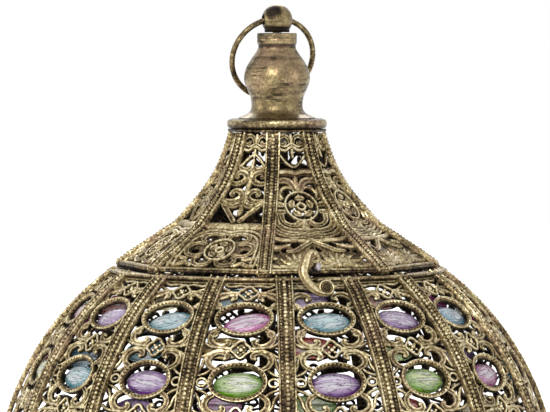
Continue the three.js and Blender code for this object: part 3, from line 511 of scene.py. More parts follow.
def aged_brass_group():
    """Blackened hollows, brown and olive flanks, rubbed pale crests and a few coppery patches."""
    tree, given, out = shader_group("aged_brass", (("Relief", "NodeSocketFloat", 0.5),
                                                   ("Rub", "NodeSocketFloat", 0.5),
                                                   ("Patches", "NodeSocketFloat", 0.35),
                                                   ("Mottle", "NodeSocketFloat", 1.0)),
                                    (("Color", "NodeSocketColor"), ("Roughness", "NodeSocketFloat"),
                                     ("Height", "NodeSocketFloat")))
    place_on = object_place(tree)
    cloud = noise(tree, place_on, 70.0, 5.0)
    mottle = noise(tree, place_on, 330.0, 4.0, 0.6)
    grain = noise(tree, place_on, 950.0, 3.0, 0.65)
    copper = noise(tree, place_on, 55.0, 3.0)
    level = given.outputs["Relief"]
    spots = 0.0
    for source, reach in ((grain, 1.5), (mottle, 0.9), (cloud, 0.8)):
        spots = maths(tree, "ADD", maths(tree, "MULTIPLY", maths(tree, "SUBTRACT", source, 0.5), reach),
                      spots)
    level = maths(tree, "ADD", level, maths(tree, "MULTIPLY", spots, given.outputs["Mottle"]))
    level = maths(tree, "ADD", level, maths(tree, "SUBTRACT", given.outputs["Rub"], 0.5), clamp=True)
    colour = ramp(tree, level, (
        (0.08, (0.010, 0.006, 0.004)), (0.32, (0.062, 0.042, 0.020)), (0.54, (0.185, 0.135, 0.062)),
        (0.76, (0.36, 0.285, 0.140)), (1.0, (0.74, 0.65, 0.42))))
    patch = maths(tree, "MULTIPLY", stretched(tree, copper, 0.52, 6.0), given.outputs["Patches"])
    rosy = blended(tree, level, (0.035, 0.016, 0.012, 1), (0.52, 0.33, 0.23, 1))
    colour = blended(tree, patch, colour, rosy)
    rough = maths(tree, "SUBTRACT", 0.6, maths(tree, "MULTIPLY", level, 0.28))
    tree.links.new(colour, out.inputs["Color"])
    tree.links.new(rough, out.inputs["Roughness"])
    tree.links.new(maths(tree, "ADD", grain, maths(tree, "MULTIPLY", mottle, 0.8)), out.inputs["Height"])
    return tree


def hand_wiped_group():
    """Dark streaks wiped round a turned piece, over pale brass."""
    tree, given, out = shader_group(
        "hand_wiped",
        (("Color", "NodeSocketColor", (0.5, 0.4, 0.2, 1)), ("Amount", "NodeSocketFloat", 0.6)),
        (("Color", "NodeSocketColor"), ("Mask", "NodeSocketFloat")))
    place_on = object_place(tree)
    thin = add_node(tree, "ShaderNodeMapping", {"Vector": place_on, "Scale": (0.14, 0.14, 1.0)}).outputs[0]
    streak = noise(tree, thin, 420.0, 5.0, 0.7)
    where = noise(tree, place_on, 75.0, 3.0)
    mask = maths(tree, "MULTIPLY", stretched(tree, streak, 0.49, 11.0), stretched(tree, where, 0.43, 7.0))
    mask = maths(tree, "MULTIPLY", mask, given.outputs["Amount"], clamp=True)
    tree.links.new(blended(tree, mask, given.outputs["Color"], (0.035, 0.024, 0.012, 1)), out.inputs["Color"])
    tree.links.new(mask, out.inputs["Mask"])
    return tree


def thread(tree, value, level, sharpness):
    """A thin line where a noise crosses this level."""
    away = maths(tree, "ABSOLUTE", maths(tree, "SUBTRACT", value, level))
    return maths(tree, "SUBTRACT", 1.0, maths(tree, "MULTIPLY", away, sharpness, clamp=True), clamp=True)


def crackle_group():
    """Threads that run from end to end of a gem: dark lines, white streaks, and how near the rim is."""
    tree, _, out = shader_group("gem_threads", (),
                                [(name, "NodeSocketFloat") for name in ("Line", "Streak", "Rim", "Low")])
    spot = add_node(tree, "ShaderNodeAttribute", attribute_name="gem_place").outputs["Vector"]
    split = add_node(tree, "ShaderNodeSeparateXYZ", {0: spot})
    narrow = maths(tree, "SUBTRACT", 1.06, maths(tree, "MULTIPLY", split.outputs[0], split.outputs[0]))
    fanned = maths(tree, "DIVIDE", split.outputs[1], maths(tree, "SQRT", narrow))
    fanned = add_node(tree, "ShaderNodeCombineXYZ", {0: split.outputs[0], 1: fanned, 2: split.outputs[2]})
    bent = add_node(tree, "ShaderNodeMapping", {"Vector": fanned.outputs[0],
                                                "Scale": (0.7, 2.6, 1.0)}).outputs[0]
    wander, fine = noise(tree, bent, 1.5, 3.0, 0.5), noise(tree, bent, 3.4, 3.0, 0.5)
    line = thread(tree, wander, 0.5, 27.0)
    line = maths(tree, "MAXIMUM", line, maths(tree, "MULTIPLY", thread(tree, fine, 0.47, 30.0), 0.75))
    streak = stretched(tree, wander, 0.5, 13.0)
    flat = add_node(tree, "ShaderNodeCombineXYZ", {0: split.outputs[0], 1: split.outputs[1]}).outputs[0]
    rim = add_node(tree, "ShaderNodeVectorMath", {0: flat}, operation="LENGTH").outputs["Value"]
    low = maths(tree, "MULTIPLY", split.outputs[1], -1.0, clamp=True)
    for name, value in (("Line", line), ("Streak", streak), ("Rim", rim), ("Low", low)):
        tree.links.new(value, out.inputs[name])
    return tree


def new_material(name):
    material = bpy.data.materials.new(name)
    material.use_nodes = True
    return material, material.node_tree, material.node_tree.nodes["Principled BSDF"]


def group_in(tree, group, values):
    return add_node(tree, "ShaderNodeGroup", values, node_tree=group)


def bump(tree, shader, height, strength, distance):
    node = add_node(tree, "ShaderNodeBump", {"Height": height, "Strength": strength, "Distance": distance})
    tree.links.new(node.outputs[0], shader.inputs["Normal"])


AGED_BRASS = aged_brass_group()
HAND_WIPED = hand_wiped_group()
CRACKLE = crackle_group()


def brass(name, rub, patches, relief=None, streaks=0.0, metallic=0.82, grit=0.35, contrast=1.0, mottle=1.0,
          polish=0.0):
    material, tree, shader = new_material(name)
    if relief is None:
        relief = add_node(tree, "ShaderNodeAttribute", attribute_name="relief").outputs["Fac"]
        relief = maths(tree, "ADD", maths(tree, "MULTIPLY", relief, contrast), 0.45 * (1 - contrast))
    aged = group_in(tree, AGED_BRASS, {"Relief": relief, "Rub": rub, "Patches": patches, "Mottle": mottle})
    colour = aged.outputs["Color"]
    rough = aged.outputs["Roughness"]
    if streaks:
        wiped = group_in(tree, HAND_WIPED, {"Color": colour, "Amount": streaks})
        colour = wiped.outputs["Color"]
        rough = maths(tree, "ADD", rough, maths(tree, "MULTIPLY", wiped.outputs["Mask"], 0.2))
    fill(tree, shader, {"Base Color": colour, "Roughness": maths(tree, "SUBTRACT", rough, polish),
                        "Metallic": metallic})
    bump(tree, shader, aged.outputs["Height"], grit, 0.0003)
    return material


def glass_gem(name, pale, deep):
    """Coloured glass: deep at the rim and below, pale inside, with white streaks and thin dark threads."""
    material, tree, shader = new_material(name)
    threads = group_in(tree, CRACKLE, {})
    share = maths(tree, "POWER", threads.outputs["Rim"], 2.3, clamp=True)
    share = maths(tree, "ADD", share, maths(tree, "MULTIPLY", threads.outputs["Low"], 0.3))
    share = maths(tree, "SUBTRACT", maths(tree, "ADD", share, 0.04),
                  maths(tree, "MULTIPLY", threads.outputs["Streak"], 0.22), clamp=True)
    colour = blended(tree, share, (*pale, 1), (*deep, 1))
    white = maths(tree, "MULTIPLY", threads.outputs["Streak"],
                  maths(tree, "SUBTRACT", 0.8, share, clamp=True))
    colour = blended(tree, white, colour, (1, 0.98, 1, 1))
    dark = tuple(c * 0.08 for c in deep)
    colour = blended(tree, maths(tree, "MULTIPLY", threads.outputs["Line"], 0.92), colour, (*dark, 1))
    fill(tree, shader, {"Base Color": colour, "Roughness": 0.08, "IOR": 1.46, "Transmission Weight": 0.5,
                        "Coat Weight": 0.3})
    height = maths(tree, "SUBTRACT", threads.outputs["Streak"], threads.outputs["Line"])
    bump(tree, shader, height, 0.3, 0.0005)
    return material


def plain(name, colour, rough, metallic=0.0, spread=0.12, scale=400.0, grit=0.1):
    """A plain finish with a light mottle and a fine surface."""
    material, tree, shader = new_material(name)
    mottle = noise(tree, object_place(tree), scale, 4.0)
    darker = tuple(c * (1 - spread) for c in colour)
    lighter = tuple(min(c * (1 + spread), 1) for c in colour)
    colour = blended(tree, mottle, (*darker, 1), (*lighter, 1))
    rough = maths(tree, "ADD", maths(tree, "MULTIPLY", mottle, 0.15), rough - 0.07)
    fill(tree, shader, {"Base Color": colour, "Roughness": rough, "Metallic": metallic})
    bump(tree, shader, mottle, grit, 0.0002)
    return material


def clear_glass():
    material, tree, shader = new_material("clear_bulb_glass")
    haze = noise(tree, object_place(tree), 60.0, 3.0)
    colour = blended(tree, haze, (0.97, 0.97, 0.96, 1), (1, 1, 1, 1))
    fill(tree, shader, {"Base Color": colour, "Roughness": maths(tree, "MULTIPLY", haze, 0.08),
                        "Transmission Weight": 1.0, "IOR": 1.2})
    return material


OPENWORK = brass("brass_openwork", 0.5, 0.3)
LID_OPENWORK = brass("brass_lid_openwork", 0.5, 0.35, contrast=0.85)
RIB_BRASS = brass("brass_ribs", 0.6, 0.35, contrast=0.8, mottle=1.2)
BEAD_BRASS = brass("brass_beads", 0.54, 0.3, relief=0.7, mottle=1.2)
LID_BEADS = brass("brass_lid_beads", 0.5, 0.45, relief=0.66, mottle=1.3)
FINIAL_BRASS = brass("brass_finial_wiped", 0.43, 0.45, streaks=0.95, grit=0.12, mottle=0.5, polish=0.14)
CAP_BRASS = brass("brass_cap_wiped", 0.36, 0.6, streaks=0.7, grit=0.2, polish=0.05)
HOOK_BRASS = brass("brass_hook", 0.54, 0.2, metallic=0.85, grit=0.1, mottle=0.5, polish=0.1)
PLATE_BRASS = brass("brass_dark_plate", 0.3, 0.4, relief=0.35)
HINGE_BRASS = brass("brass_hinge", 0.42, 0.3, relief=0.5)
FOOT_BRASS = brass("brass_foot", 0.45, 0.35, streaks=0.5)
RIB_PEARLS = brass("brass_rib_pearls", 0.47, 0.3, relief=0.6, mottle=1.3)
RING_BRASS = brass("brass_ring", 0.4, 0.3, streaks=0.6, grit=0.15)
STEEL = plain("zinc_plated_steel", (0.55, 0.55, 0.54), 0.38, 0.9)
BLACK_RUBBER = plain("black_rubber", (0.025, 0.025, 0.025), 0.75, grit=0.3)
BUSH_BLACK = plain("black_bush_plastic", (0.02, 0.02, 0.02), 0.5)
HOLDER_WHITE = plain("white_lampholder_plastic", (0.82, 0.80, 0.74), 0.4, spread=0.03)
WIRE_DARK = plain("dark_gem_wire", (0.05, 0.04, 0.03), 0.45, 0.7)
STUD_GREY = plain("worn_grey_stud", (0.33, 0.30, 0.31), 0.45, 0.5)
BULB_GLASS = clear_glass()

GEMS = {
    "aqua": glass_gem("gem_glass_aqua", (0.82, 0.98, 1.0), (0.02, 0.36, 0.46)),
    "purple": glass_gem("gem_glass_purple", (0.95, 0.80, 1.0), (0.24, 0.03, 0.38)),
    "pink": glass_gem("gem_glass_pink", (1.0, 0.78, 0.94), (0.75, 0.02, 0.42)),
    "green": glass_gem("gem_glass_green", (0.95, 1.0, 0.62), (0.24, 0.58, 0.02)),
    "red": glass_gem("gem_glass_red", (1.0, 0.70, 0.58), (0.90, 0.06, 0.03)),
    "amber": glass_gem("gem_glass_amber", (1.0, 0.97, 0.74), (0.95, 0.60, 0.05)),
    "blue": glass_gem("gem_glass_blue", (0.78, 0.95, 1.0), (0.01, 0.32, 0.58)),
}
GEM_ORDER = ("aqua", "purple", "pink", "green", "red", "amber", "blue")
# Colours of the top row and the next, strip by strip from the front strip rightwards
TOP_GEMS = ("aqua", "purple", "blue", "pink", "amber", "pink", "red", "purple", "aqua", "amber", "red",
            "green", "pink", "purple", "aqua", "pink")
NEXT_GEMS = ("purple", "green", "pink", "blue", "red", "purple", "green", "red", "amber", "aqua", "blue",
             "red", "green", "aqua", "purple", "green")


# Gems that hang askew on their wire, by row and strip: turn in degrees, shift across, shift up
GEM_TILTS = {
    (0, 15): (15, 1.4, -0.9), (0, 14): (12, 0.6, -1.0), (0, 0): (4, 0.4, -0.5), (0, 1): (-8, 0.0, -0.3),
    (1, 1): (-5, 0.0, 0.2), (1, 15): (1, 0.0, -0.2), (0, 2): (-6, 0.4, -0.6), (0, 13): (9, 0.6, -0.6),
    (1, 14): (-3, 0.0, -0.4)}


# Rows of small round beads, laid along lines by a node tree


def bead_row_tree():
    tree = bpy.data.node_groups.new("bead_rows", "GeometryNodeTree")
    face = tree.interface
    face.new_socket("Lines", in_out="INPUT", socket_type="NodeSocketGeometry")
    for label, default in (("Pitch", 0.0018), ("Radius", 0.0008)):
        face.new_socket(label, in_out="INPUT", socket_type="NodeSocketFloat").default_value = default
    for label, default in (("Segments", 7), ("Rings", 4), ("Seed", 4)):
        face.new_socket(label, in_out="INPUT", socket_type="NodeSocketInt").default_value = default
    face.new_socket("Finish", in_out="INPUT", socket_type="NodeSocketMaterial")
    face.new_socket("Beads", in_out="OUTPUT", socket_type="NodeSocketGeometry")
    given, out = tree.nodes.new("NodeGroupInput"), tree.nodes.new("NodeGroupOutput")
    curve = add_node(tree, "GeometryNodeMeshToCurve", {0: given.outputs["Lines"]})
    spaced = add_node(tree, "GeometryNodeResampleCurve",
                      {"Curve": curve.outputs[0], "Length": given.outputs["Pitch"]}, mode="LENGTH")
    ball = add_node(tree, "GeometryNodeMeshUVSphere",
                    {"Segments": given.outputs["Segments"], "Rings": given.outputs["Rings"],
                     "Radius": given.outputs["Radius"]})
    size = add_node(tree, "FunctionNodeRandomValue", {2: 0.9, 3: 1.08, "Seed": given.outputs["Seed"]},
                    data_type="FLOAT")
    beads = add_node(tree, "GeometryNodeInstanceOnPoints",
                     {"Points": spaced.outputs[0], "Instance": ball.outputs[0], "Scale": size.outputs[1]})
    real = add_node(tree, "GeometryNodeRealizeInstances", {0: beads.outputs[0]})
    shade = add_node(tree, "GeometryNodeSetShadeSmooth", {0: real.outputs[0]})
    finish = add_node(tree, "GeometryNodeSetMaterial",
                      {"Geometry": shade.outputs[0], "Material": given.outputs["Finish"]})
    tree.links.new(finish.outputs[0], out.inputs[0])
    return tree


BEAD_ROWS = bead_row_tree()


def bead_rows(name, lines, pitch, radius, body, material, segments=7, rings=4):
    """Beads along each line of points (millimetres); a line that ends where it starts is closed."""
    points, edges = [], []
    for line in lines:
        closed = np.allclose(line[0], line[-1])
        line = line[:-1] if closed else line
        start = len(points)
        points.extend((np.asarray(line) * MM).tolist())
        edges.extend([(start + i, start + i + 1) for i in range(len(line) - 1)])
        if closed:
            edges.append((start + len(line) - 1, start))
    guide = bpy.data.meshes.new(name + "_lines")
    guide.from_pydata(points, edges, [])
    carrier = linked(name + "_lines", guide)
    modifier = carrier.modifiers.new("bead_rows", "NODES")
    modifier.node_group = BEAD_ROWS
    wanted = {"Pitch": pitch * MM, "Radius": radius * MM, "Segments": segments, "Rings": rings, "Seed": 4,
              "Finish": material}
    for item in BEAD_ROWS.interface.items_tree:
        if item.in_out == "INPUT" and item.name in wanted:
            modifier[item.identifier] = wanted[item.name]
    mesh = evaluated_mesh(carrier)
    mesh.name = name
    bpy.data.objects.remove(carrier)
    return settle(linked(name, mesh), body, material)


# Body strips: one cell of scrollwork round each setting, a flower between cells, a bar at each end


def row_arc(row):
    """Middle of a row of settings, as an arc length from the equator; row 0 is the top one."""
    return STRIP_RADIUS * (TOP_ROW - row * ROW_PITCH)


def curl(at, way):
    """A C-scroll of one cell, above (1) or below (-1) the setting."""
    return [at(9.6, way * 5.6), at(12.2, way * 7.2), at(13.3, way * 9.6), at(12.3, way * 12.3),
            at(9.3, way * 14.0), at(6.3, way * 13.4), at(5.2, way * 11.8), at(6.6, way * 10.9)]


def leaf_row(at, edge, way):
    """The broad leaf between a scroll and its rib."""
    return [at(edge + 0.4, way * 4.6), at(edge - 1.4, way * 7.6), at(15.0, way * 10.8), at(12.8, way * 14.0)]


def scroll_cell(work, v, half_width):
    """The setting and the four C-scrolls that hold it."""
    def at(u, rise):
        return (min(u, half_width + 0.4) if u > 0 else max(u, -half_width - 0.4), v + rise)

    work.oval((0, v), BEZEL["u"], BEZEL["v"], BEZEL["band"] / 1.05, 1.55, "collet", -0.7, count=40)
    for way in (-1, 1):
        work.both(curl(at, way), (2.0, 2.7, 2.9, 2.5, 1.7), 1.05, "channel")
        for side in (-1, 1):
            work.boss((side * 6.4, v + way * 11.0), 1.05, 1.0)
        if half_width > WIDE_STRIP:
            work.both(leaf_row(at, half_width, way), (1.3, 1.5, 1.1), 0.6, "domed")
            work.both([at(half_width + 0.4, way * 2.9), at(14.0, way * 4.3), at(11.6, way * 6.4)],
                      (1.0, 1.3, 1.2), 0.5, "domed")
        else:
            work.eyes(12.0, v + way * 7.4, 1.5, 1.5, 1.1, 0.7, 14)
    if half_width > WIDE_STRIP:
        work.eyes((half_width + 13.2) / 2, v, min((half_width - 12.6) / 2, 2.1), 1.8, 1.25)


def flower_joint(work, v, half_width):
    """A rounded square flower between two cells, with thick forked arms out to the ribs."""
    work.lobed((0, v), 3.7, 0.13, 4, 1.35, 1.15, count=28)
    work.boss((0, v), 1.15, 1.0)
    for k in range(4):
        a = math.pi / 4 + k * math.pi / 2
        work.boss((1.75 * math.cos(a), v + 1.75 * math.sin(a)), 0.75, 0.6, sides=7)
    edge = half_width + 0.6
    for way in (1, -1):
        work.both([(3.9, v + way * 0.6), (7.6, v + way * 0.9), (edge - 3.8, v + way * 1.5),
                   (edge, v + way * 3.6)], (1.5, 1.7, 1.5, 1.2), 0.85, "domed")


def end_bar(work, v, half_width, up):
    edge = half_width + 1.5
    work.bow([(0, v), (edge, v)], 2.6, 1.1, "channel", steps=6)
    work.both([(edge - 1.2, v - up * 1.4), (8.0, v - up * 2.6), (4.0, v - up * 2.0), (0.6, v - up * 2.8)],
              (1.6, 1.1), 0.7)


def curved_end_bar(work, v, half_width):
    """The front strip's top: bars bowed under the latch, with an eyelet at each side."""
    edge = half_width + 1.5
    work.bow([(0, v), (edge, v)], 1.8, 0.8, "bar", steps=6)
    work.bow([(0, v - 5.4), (6.4, v - 3.7), (edge, v - 3.4)], 2.4, 1.2, "channel")
    work.eyes(7.2, v - 1.9, 1.7, 1.5, 1.3, 1.0)
    work.bow([(0, v - 3.2), (4.4, v - 1.2)], (1.0, 1.4, 1.0), 0.8)


def body_strip(index):
    work = Relief(swell=1.05)
    for row in range(ROW_COUNT):
        v = row_arc(row)
        scroll_cell(work, v, body_half_width(v))
    for row in range(1, ROW_COUNT):
        v = row_arc(row) + STRIP_RADIUS * ROW_PITCH / 2
        flower_joint(work, v, body_half_width(v))
    top, bottom = STRIP_RADIUS * LATITUDES["top"], STRIP_RADIUS * LATITUDES["bottom"]
    if index == 0:
        curved_end_bar(work, top - 1.1, body_half_width(top))
    else:
        crown = row_arc(0) + STRIP_RADIUS * ROW_PITCH / 2
        flower_joint(work, crown - 0.6, body_half_width(crown))
        end_bar(work, top - 1.3, body_half_width(top), 1)
    end_bar(work, bottom + 1.4, body_half_width(bottom), -1)
    name = f"openwork_strip_{index + 1:02d}"
    shape = work.on(body_surface(body_facing(index)))
    return make_piece(name, [shape], "body", OPENWORK, [f"body_panel_{index + 1:02d}"])


def setting_beads():
    steps, gap, height = 49, 0.35, 0.95
    angle = np.linspace(0, 2 * math.pi, steps)
    ring_u, ring_v = (BEZEL["u"] + gap) * np.cos(angle), (BEZEL["v"] + gap) * np.sin(angle)
    lines = []
    for index in range(BODY_SIDES):
        surface = body_surface(body_facing(index))
        for row in range(ROW_COUNT):
            lines.append(surface(np.stack([ring_u, row_arc(row) + ring_v, np.full(steps, height)], axis=1)))
    return bead_rows("setting_beads", lines, BEZEL["pitch"], BEZEL["bead"], "body", BEAD_BRASS, 6, 4)


def rib_outline(*half, groove):
    """A rib's outline from its left half, edge first, and the depth of the groove below it."""
    return [*((-side, depth, mark) for side, depth, mark in half), *reversed(half), (0, groove, 0.0)]


BODY_RIB_OUTLINE = rib_outline((BODY_RIB_HALF, 0.1, 0.2), (BODY_RIB_HALF, 1.9, 0.5), (3.5, 2.2, 0.75),
                               (3.0, 2.2, 0.66), (2.85, 1.6, 0.1), (1.5, 1.4, 0.15), groove=0.8)
ROOF_RIB_OUTLINE = rib_outline((ROOF_RIB_HALF, -0.35, 0.3), (ROOF_RIB_HALF, 1.4, 0.55), (2.95, 1.65, 0.75),
                               (2.5, 1.65, 0.66), (2.35, 1.15, 0.12), (1.2, 0.9, 0.1), groove=0.6)


# The hoops' height marks stay low: painted shade, since the top hoop lies in the shadow under the lid's eave;
# the bottom hoop takes the same marks.
def hoop_profile(size, lip=0.35):
    outer, inner = size["outer"], size["outer"] - size["width"]
    low, high = size["bottom"], size["bottom"] + size["height"]
    return ((inner, low, 0.1), (outer - lip, low, 0.1), (outer, low + lip, 0.3), (outer, high - lip, 0.5),
            (outer - lip, high, 0.6), (inner + lip, high, 0.3), (inner, high - lip, 0.2))


def latch_matrix():
    rivet = Matrix.Translation((LATCH["x"], -LATCH["reach"], LATCH["height"]))
    return rivet @ Matrix.Rotation(-LATCH["lean"], 4, "X")


def body_frame():
    """Ribs, the two hoops and the tab that carries the latch."""
    shapes = []
    low, high = (STRIP_RADIUS * LATITUDES[k] for k in ("bottom_hoop", "top_hoop"))
    for i in range(BODY_SIDES):
        surface = body_surface(body_facing(i + 0.5), 1.0)
        shapes.append(swept_rib(surface, low, high, 64, BODY_RIB_OUTLINE))
    turn = body_facing(0.5)
    shapes.append(hoop(BODY_SIDES, turn, hoop_profile(TOP_HOOP)))
    shapes.append(hoop(BODY_SIDES, turn, hoop_profile(BOTTOM_HOOP)))
    tab = block((TAB["width"], TAB["thickness"], TAB["tall"]), (0, TAB["thickness"], TAB["up"]), mark=0.2)
    shapes.append(moved(tab, latch_matrix()))
    front, back = LATCH["reach"] - TAB["inset"], TOP_HOOP["outer"] - TOP_HOOP["width"] / 2
    shapes.append(block((TAB["width"], front - back, TOP_HOOP["height"]),
                        (LATCH["x"], -(front + back) / 2, TOP_HOOP["bottom"] + TOP_HOOP["height"] / 2)))
    return make_piece("body_ribs_and_hoops", shapes, "body", RIB_BRASS, ["body_frame"], sharp=50)


def rib_line(surface, low, high, side, depth, steps=90):
    along = np.linspace(low, high, steps)
    return surface(np.stack([np.full(steps, side), along, np.full(steps, depth)], axis=1))


def body_rib_beads():
    low, high = (STRIP_RADIUS * LATITUDES[k] for k in ("bottom", "top"))
    centre, fine = [], []
    for i in range(BODY_SIDES):
        surface = body_surface(body_facing(i + 0.5), 1.0)
        centre.append(rib_line(surface, low, high, 0.0, 1.6))
        fine.extend([rib_line(surface, low, high, side, 1.6) for side in (-2.1, 2.1)])
    bead_rows("body_rib_beads", centre, 2.0, 0.98, "body", BEAD_BRASS, 8, 5)
    bead_rows("body_rib_pearls", fine, 1.55, 0.62, "body", RIB_PEARLS, 6, 4)


# Gems: one string for each row


def unit_gem():
    """A gem's points as shares of its half sizes, long axis first, and its faces."""
    slices, rings = GEM["slices"], GEM["rings"]
    angle = np.arange(slices) * 2 * math.pi / slices
    points = [(-1.0, 0.0, 0.0)]
    for p in np.linspace(0, math.pi, rings + 1)[1:-1]:
        bulge = math.sin(p) ** GEM["bulge"]
        points.extend([(-math.cos(p), bulge * math.cos(a), bulge * math.sin(a)) for a in angle])
    points.append((1.0, 0.0, 0.0))
    last, faces = len(points) - 1, []
    for k in range(slices):
        n = (k + 1) % slices
        faces.append((0, 1 + k, 1 + n))
        faces.append((last, last - slices + n, last - slices + k))
        for a in range(1, last - slices, slices):
            faces.append((a + k, a + slices + k, a + slices + n, a + n))
    return np.array(points), faces


def gem_row(row):
    """A row's gems on their wire, each with its own stretch of the thread pattern."""
    work, slots, v = Relief(), [], row_arc(row)
    colours = TOP_GEMS if row % 2 == 0 else NEXT_GEMS
    shift = (row // 2) * 4
    local, faces = unit_gem()
    for index in range(BODY_SIDES):
        tilt, across, up = GEM_TILTS.get((row, index), (0, 0.0, GEM["sag"]))
        cosine, sine = math.cos(deg(tilt)), math.sin(deg(tilt))
        a, b, c = (local * [GEM["length"] / 2, GEM["height"] / 2, GEM["thickness"] / 2]).T
        uvd = np.stack([a * cosine - b * sine + across, a * sine + b * cosine + v + up, c + GEM["depth"]],
                       axis=1)
        work.add(body_surface(body_facing(index))(uvd), local + [0, 0, index * 3.7 + row * 11.3], faces)
        slots.extend([GEM_ORDER.index(colours[(index + shift) % BODY_SIDES])] * len(faces))
    rings = gem_wire(v)
    work.add(rings.reshape(-1, 3), np.zeros((rings.size // 3, 3)), ring_faces(*rings.shape[:2], closed=True))
    points, places, faces = work.on()
    slots.extend([len(GEM_ORDER)] * (len(faces) - len(slots)))
    name = f"gem_string_{row + 1}"
    mesh = bpy.data.meshes.new(name)
    mesh.from_pydata((points * MM).tolist(), [], faces)
    spot = mesh.attributes.new("gem_place", "FLOAT_VECTOR", "POINT")
    spot.data.foreach_set("vector", places.astype(np.float32).ravel())
    mesh.polygons.foreach_set("material_index", slots)
    close_up(mesh, GEM["sharp"])
    for finish in [GEMS[key] for key in GEM_ORDER] + [WIRE_DARK]:
        mesh.materials.append(finish)
    return settle(linked(name, mesh), "body", None, [f"gem_row_{row + 1}"])


def gem_wire(v):
    """The wire of one row: straight through each gem and up to the strips' corners between them."""
    corner, tip = body_half_width(v) + BODY_RIB_HALF - 0.4, GEM["length"] / 2 - 0.3
    bends = np.array([(-corner, v, WIRE["depth"]), (-tip, v, GEM["depth"]), (tip, v, GEM["depth"])])
    line = np.concatenate([body_surface(body_facing(index))(bends) for index in range(BODY_SIDES)])
    step = np.roll(line, -1, axis=0) - np.roll(line, 1, axis=0)
    step /= np.linalg.norm(step, axis=1)[:, None]
    sideways = np.cross(step, np.array([0, 0, 1.0]))
    sideways /= np.linalg.norm(sideways, axis=1)[:, None]
    rise = np.cross(sideways, step)
    angle = (np.arange(WIRE["sides"]) * 2 * math.pi / WIRE["sides"])[None, :, None]
    return line[:, None, :] + WIRE["radius"] * (np.cos(angle) * sideways[:, None, :]
                                                + np.sin(angle) * rise[:, None, :])


# Lid strips: two patterns of scrollwork between the eave and the crown


def lid_side(v):
    """Half the width of a lid strip's ground, which runs a little under the ribs."""
    return roof_half_width(v) + 0.8


def mirrored(outlines):
    return [side for outline in outlines for side in (outline, [(-u, v) for u, v in reversed(outline)])]


def oval_hole(u, v, half_u, half_v, turn=0.0, count=10):
    angle = np.arange(count) * 2 * math.pi / count
    x, y = half_u * np.cos(angle), half_v * np.sin(angle)
    return [(u + a * math.cos(turn) - b * math.sin(turn), v + a * math.sin(turn) + b * math.cos(turn))
            for a, b in zip(x, y)]


def filled_plate(loops, thickness, bevel=0.0):
    """A flat closed plate inside the first loop, with the other loops as holes in it."""
    curve = bpy.data.curves.new("plate_outline", "CURVE")
    curve.dimensions = "2D"
    curve.fill_mode = "BOTH"
    curve.extrude = (thickness / 2 - bevel) * MM
    curve.bevel_depth = bevel * MM
    curve.bevel_resolution = 3
    curve.offset = -bevel * MM
    for loop in loops:
        spline = curve.splines.new("POLY")
        spline.points.add(len(loop) - 1)
        for point, (x, y) in zip(spline.points, loop):
            point.co = (x * MM, y * MM, 0, 1)
        spline.use_cyclic_u = True
    carrier = linked("plate_outline", curve)
    mesh = evaluated_mesh(carrier)
    bpy.data.objects.remove(carrier)
    work = bmesh.new()
    work.from_mesh(mesh)
    bmesh.ops.remove_doubles(work, verts=work.verts, dist=WELD * MM)
    return work


def taken_out(work):
    """A plate's points in millimetres and its faces; the bmesh is freed."""
    work.verts.index_update()
    points = np.array([vert.co for vert in work.verts]) / MM
    faces = [tuple(vert.index for vert in face.verts) for face in work.faces]
    work.free()
    return points, faces


def ground_plate(loops, low, high, pitch):
    """The pierced ground behind the relief, cut across into rows so that it can follow the strip's bend."""
    work = filled_plate(loops, high - low)
    across = [v for _, v in loops[0]]
    for v in np.arange(min(across) + pitch, max(across), pitch):
        everything = work.verts[:] + work.edges[:] + work.faces[:]
        bmesh.ops.bisect_plane(work, geom=everything, plane_co=(0, v * MM, 0), plane_no=(0, 1, 0))
    points, faces = taken_out(work)
    points = points + [0, 0, (low + high) / 2]
    return points, np.where(points[:, 2] > (low + high) / 2, GROUND["mark"], 0.0), faces


def lid_ground(holes, top):
    """The strip's outline up to one height, then its holes, each rounded off and kept inside the outline."""
    edge = [(lid_side(v), float(v)) for v in np.linspace(0.3, top, 12)]
    loops = [edge + [(-u, v) for u, v in reversed(edge)]]
    for hole in holes:
        soft = smooth_path(hole, 2, True)
        limits = [lid_side(v) - GROUND["margin"] for _, v in soft]
        loops.append([(float(np.clip(u, -limit, limit)), float(v)) for (u, v), limit in zip(soft, limits)])
    return ground_plate(loops, GROUND["low"], GROUND["high"], GROUND["pitch"])


def lid_border(work):
    work.bow([(0, 0.9), (lid_side(1.2) + 0.6, 0.9)], 1.5, 0.9, steps=8)


def lid_top(work):
    """Paired C-scrolls under the crown, the cyma bracket and the drop that hangs from it."""
    work.both([(0.8, 71.9), (1.3, 74.2), (3.2, 75.3), (5.2, 74.4), (5.9, 72.6), (4.6, 71.3), (3.0, 71.7),
               (2.9, 73.0)], (1.2, 1.8, 1.9, 1.6, 1.0), 1.2, "channel")
    work.stem((76.0, 73.4, 71.4), (1.6, 1.8, 1.2), 0.9)
    work.bow([(0, 70.5), (2.9, 68.8), (5.0, 69.2), (6.8, 70.6)], 1.7, 1.25)
    work.bow([(0, 71.9), (3.0, 70.5), (5.8, 71.3)], 1.0, 0.9)
    work.stem((69.4, 67.4, 65.2), (1.5, 1.9, 0.8), 1.1)


def rosette(work, v, reach_u, reach_v, petals, turn):
    """A round flower: a thin ring, broad curved petals with slits between them, and a pierced hub."""
    work.oval((0, v), reach_u, reach_v, 1.2, 1.3, count=40)
    for k in range(petals):
        a = turn + k * 2 * math.pi / petals
        spread = 0.78 * math.pi / petals
        petal = [(0.61 * reach_u * math.cos(b), v + 0.61 * reach_v * math.sin(b))
                 for b in (a - spread, a, a + spread)]
        work.strand(petal, (1.3, 3.1, 1.3), 1.0, "channel", steps=4)
        near, far = ((share * reach_u * math.cos(a), v + share * reach_v * math.sin(a))
                     for share in (0.15, 0.96))
        work.strand([near, far], 1.1, 0.45, "domed", steps=3)
    work.oval((0, v), 1.75, 1.75, 1.3, 1.15, count=16)


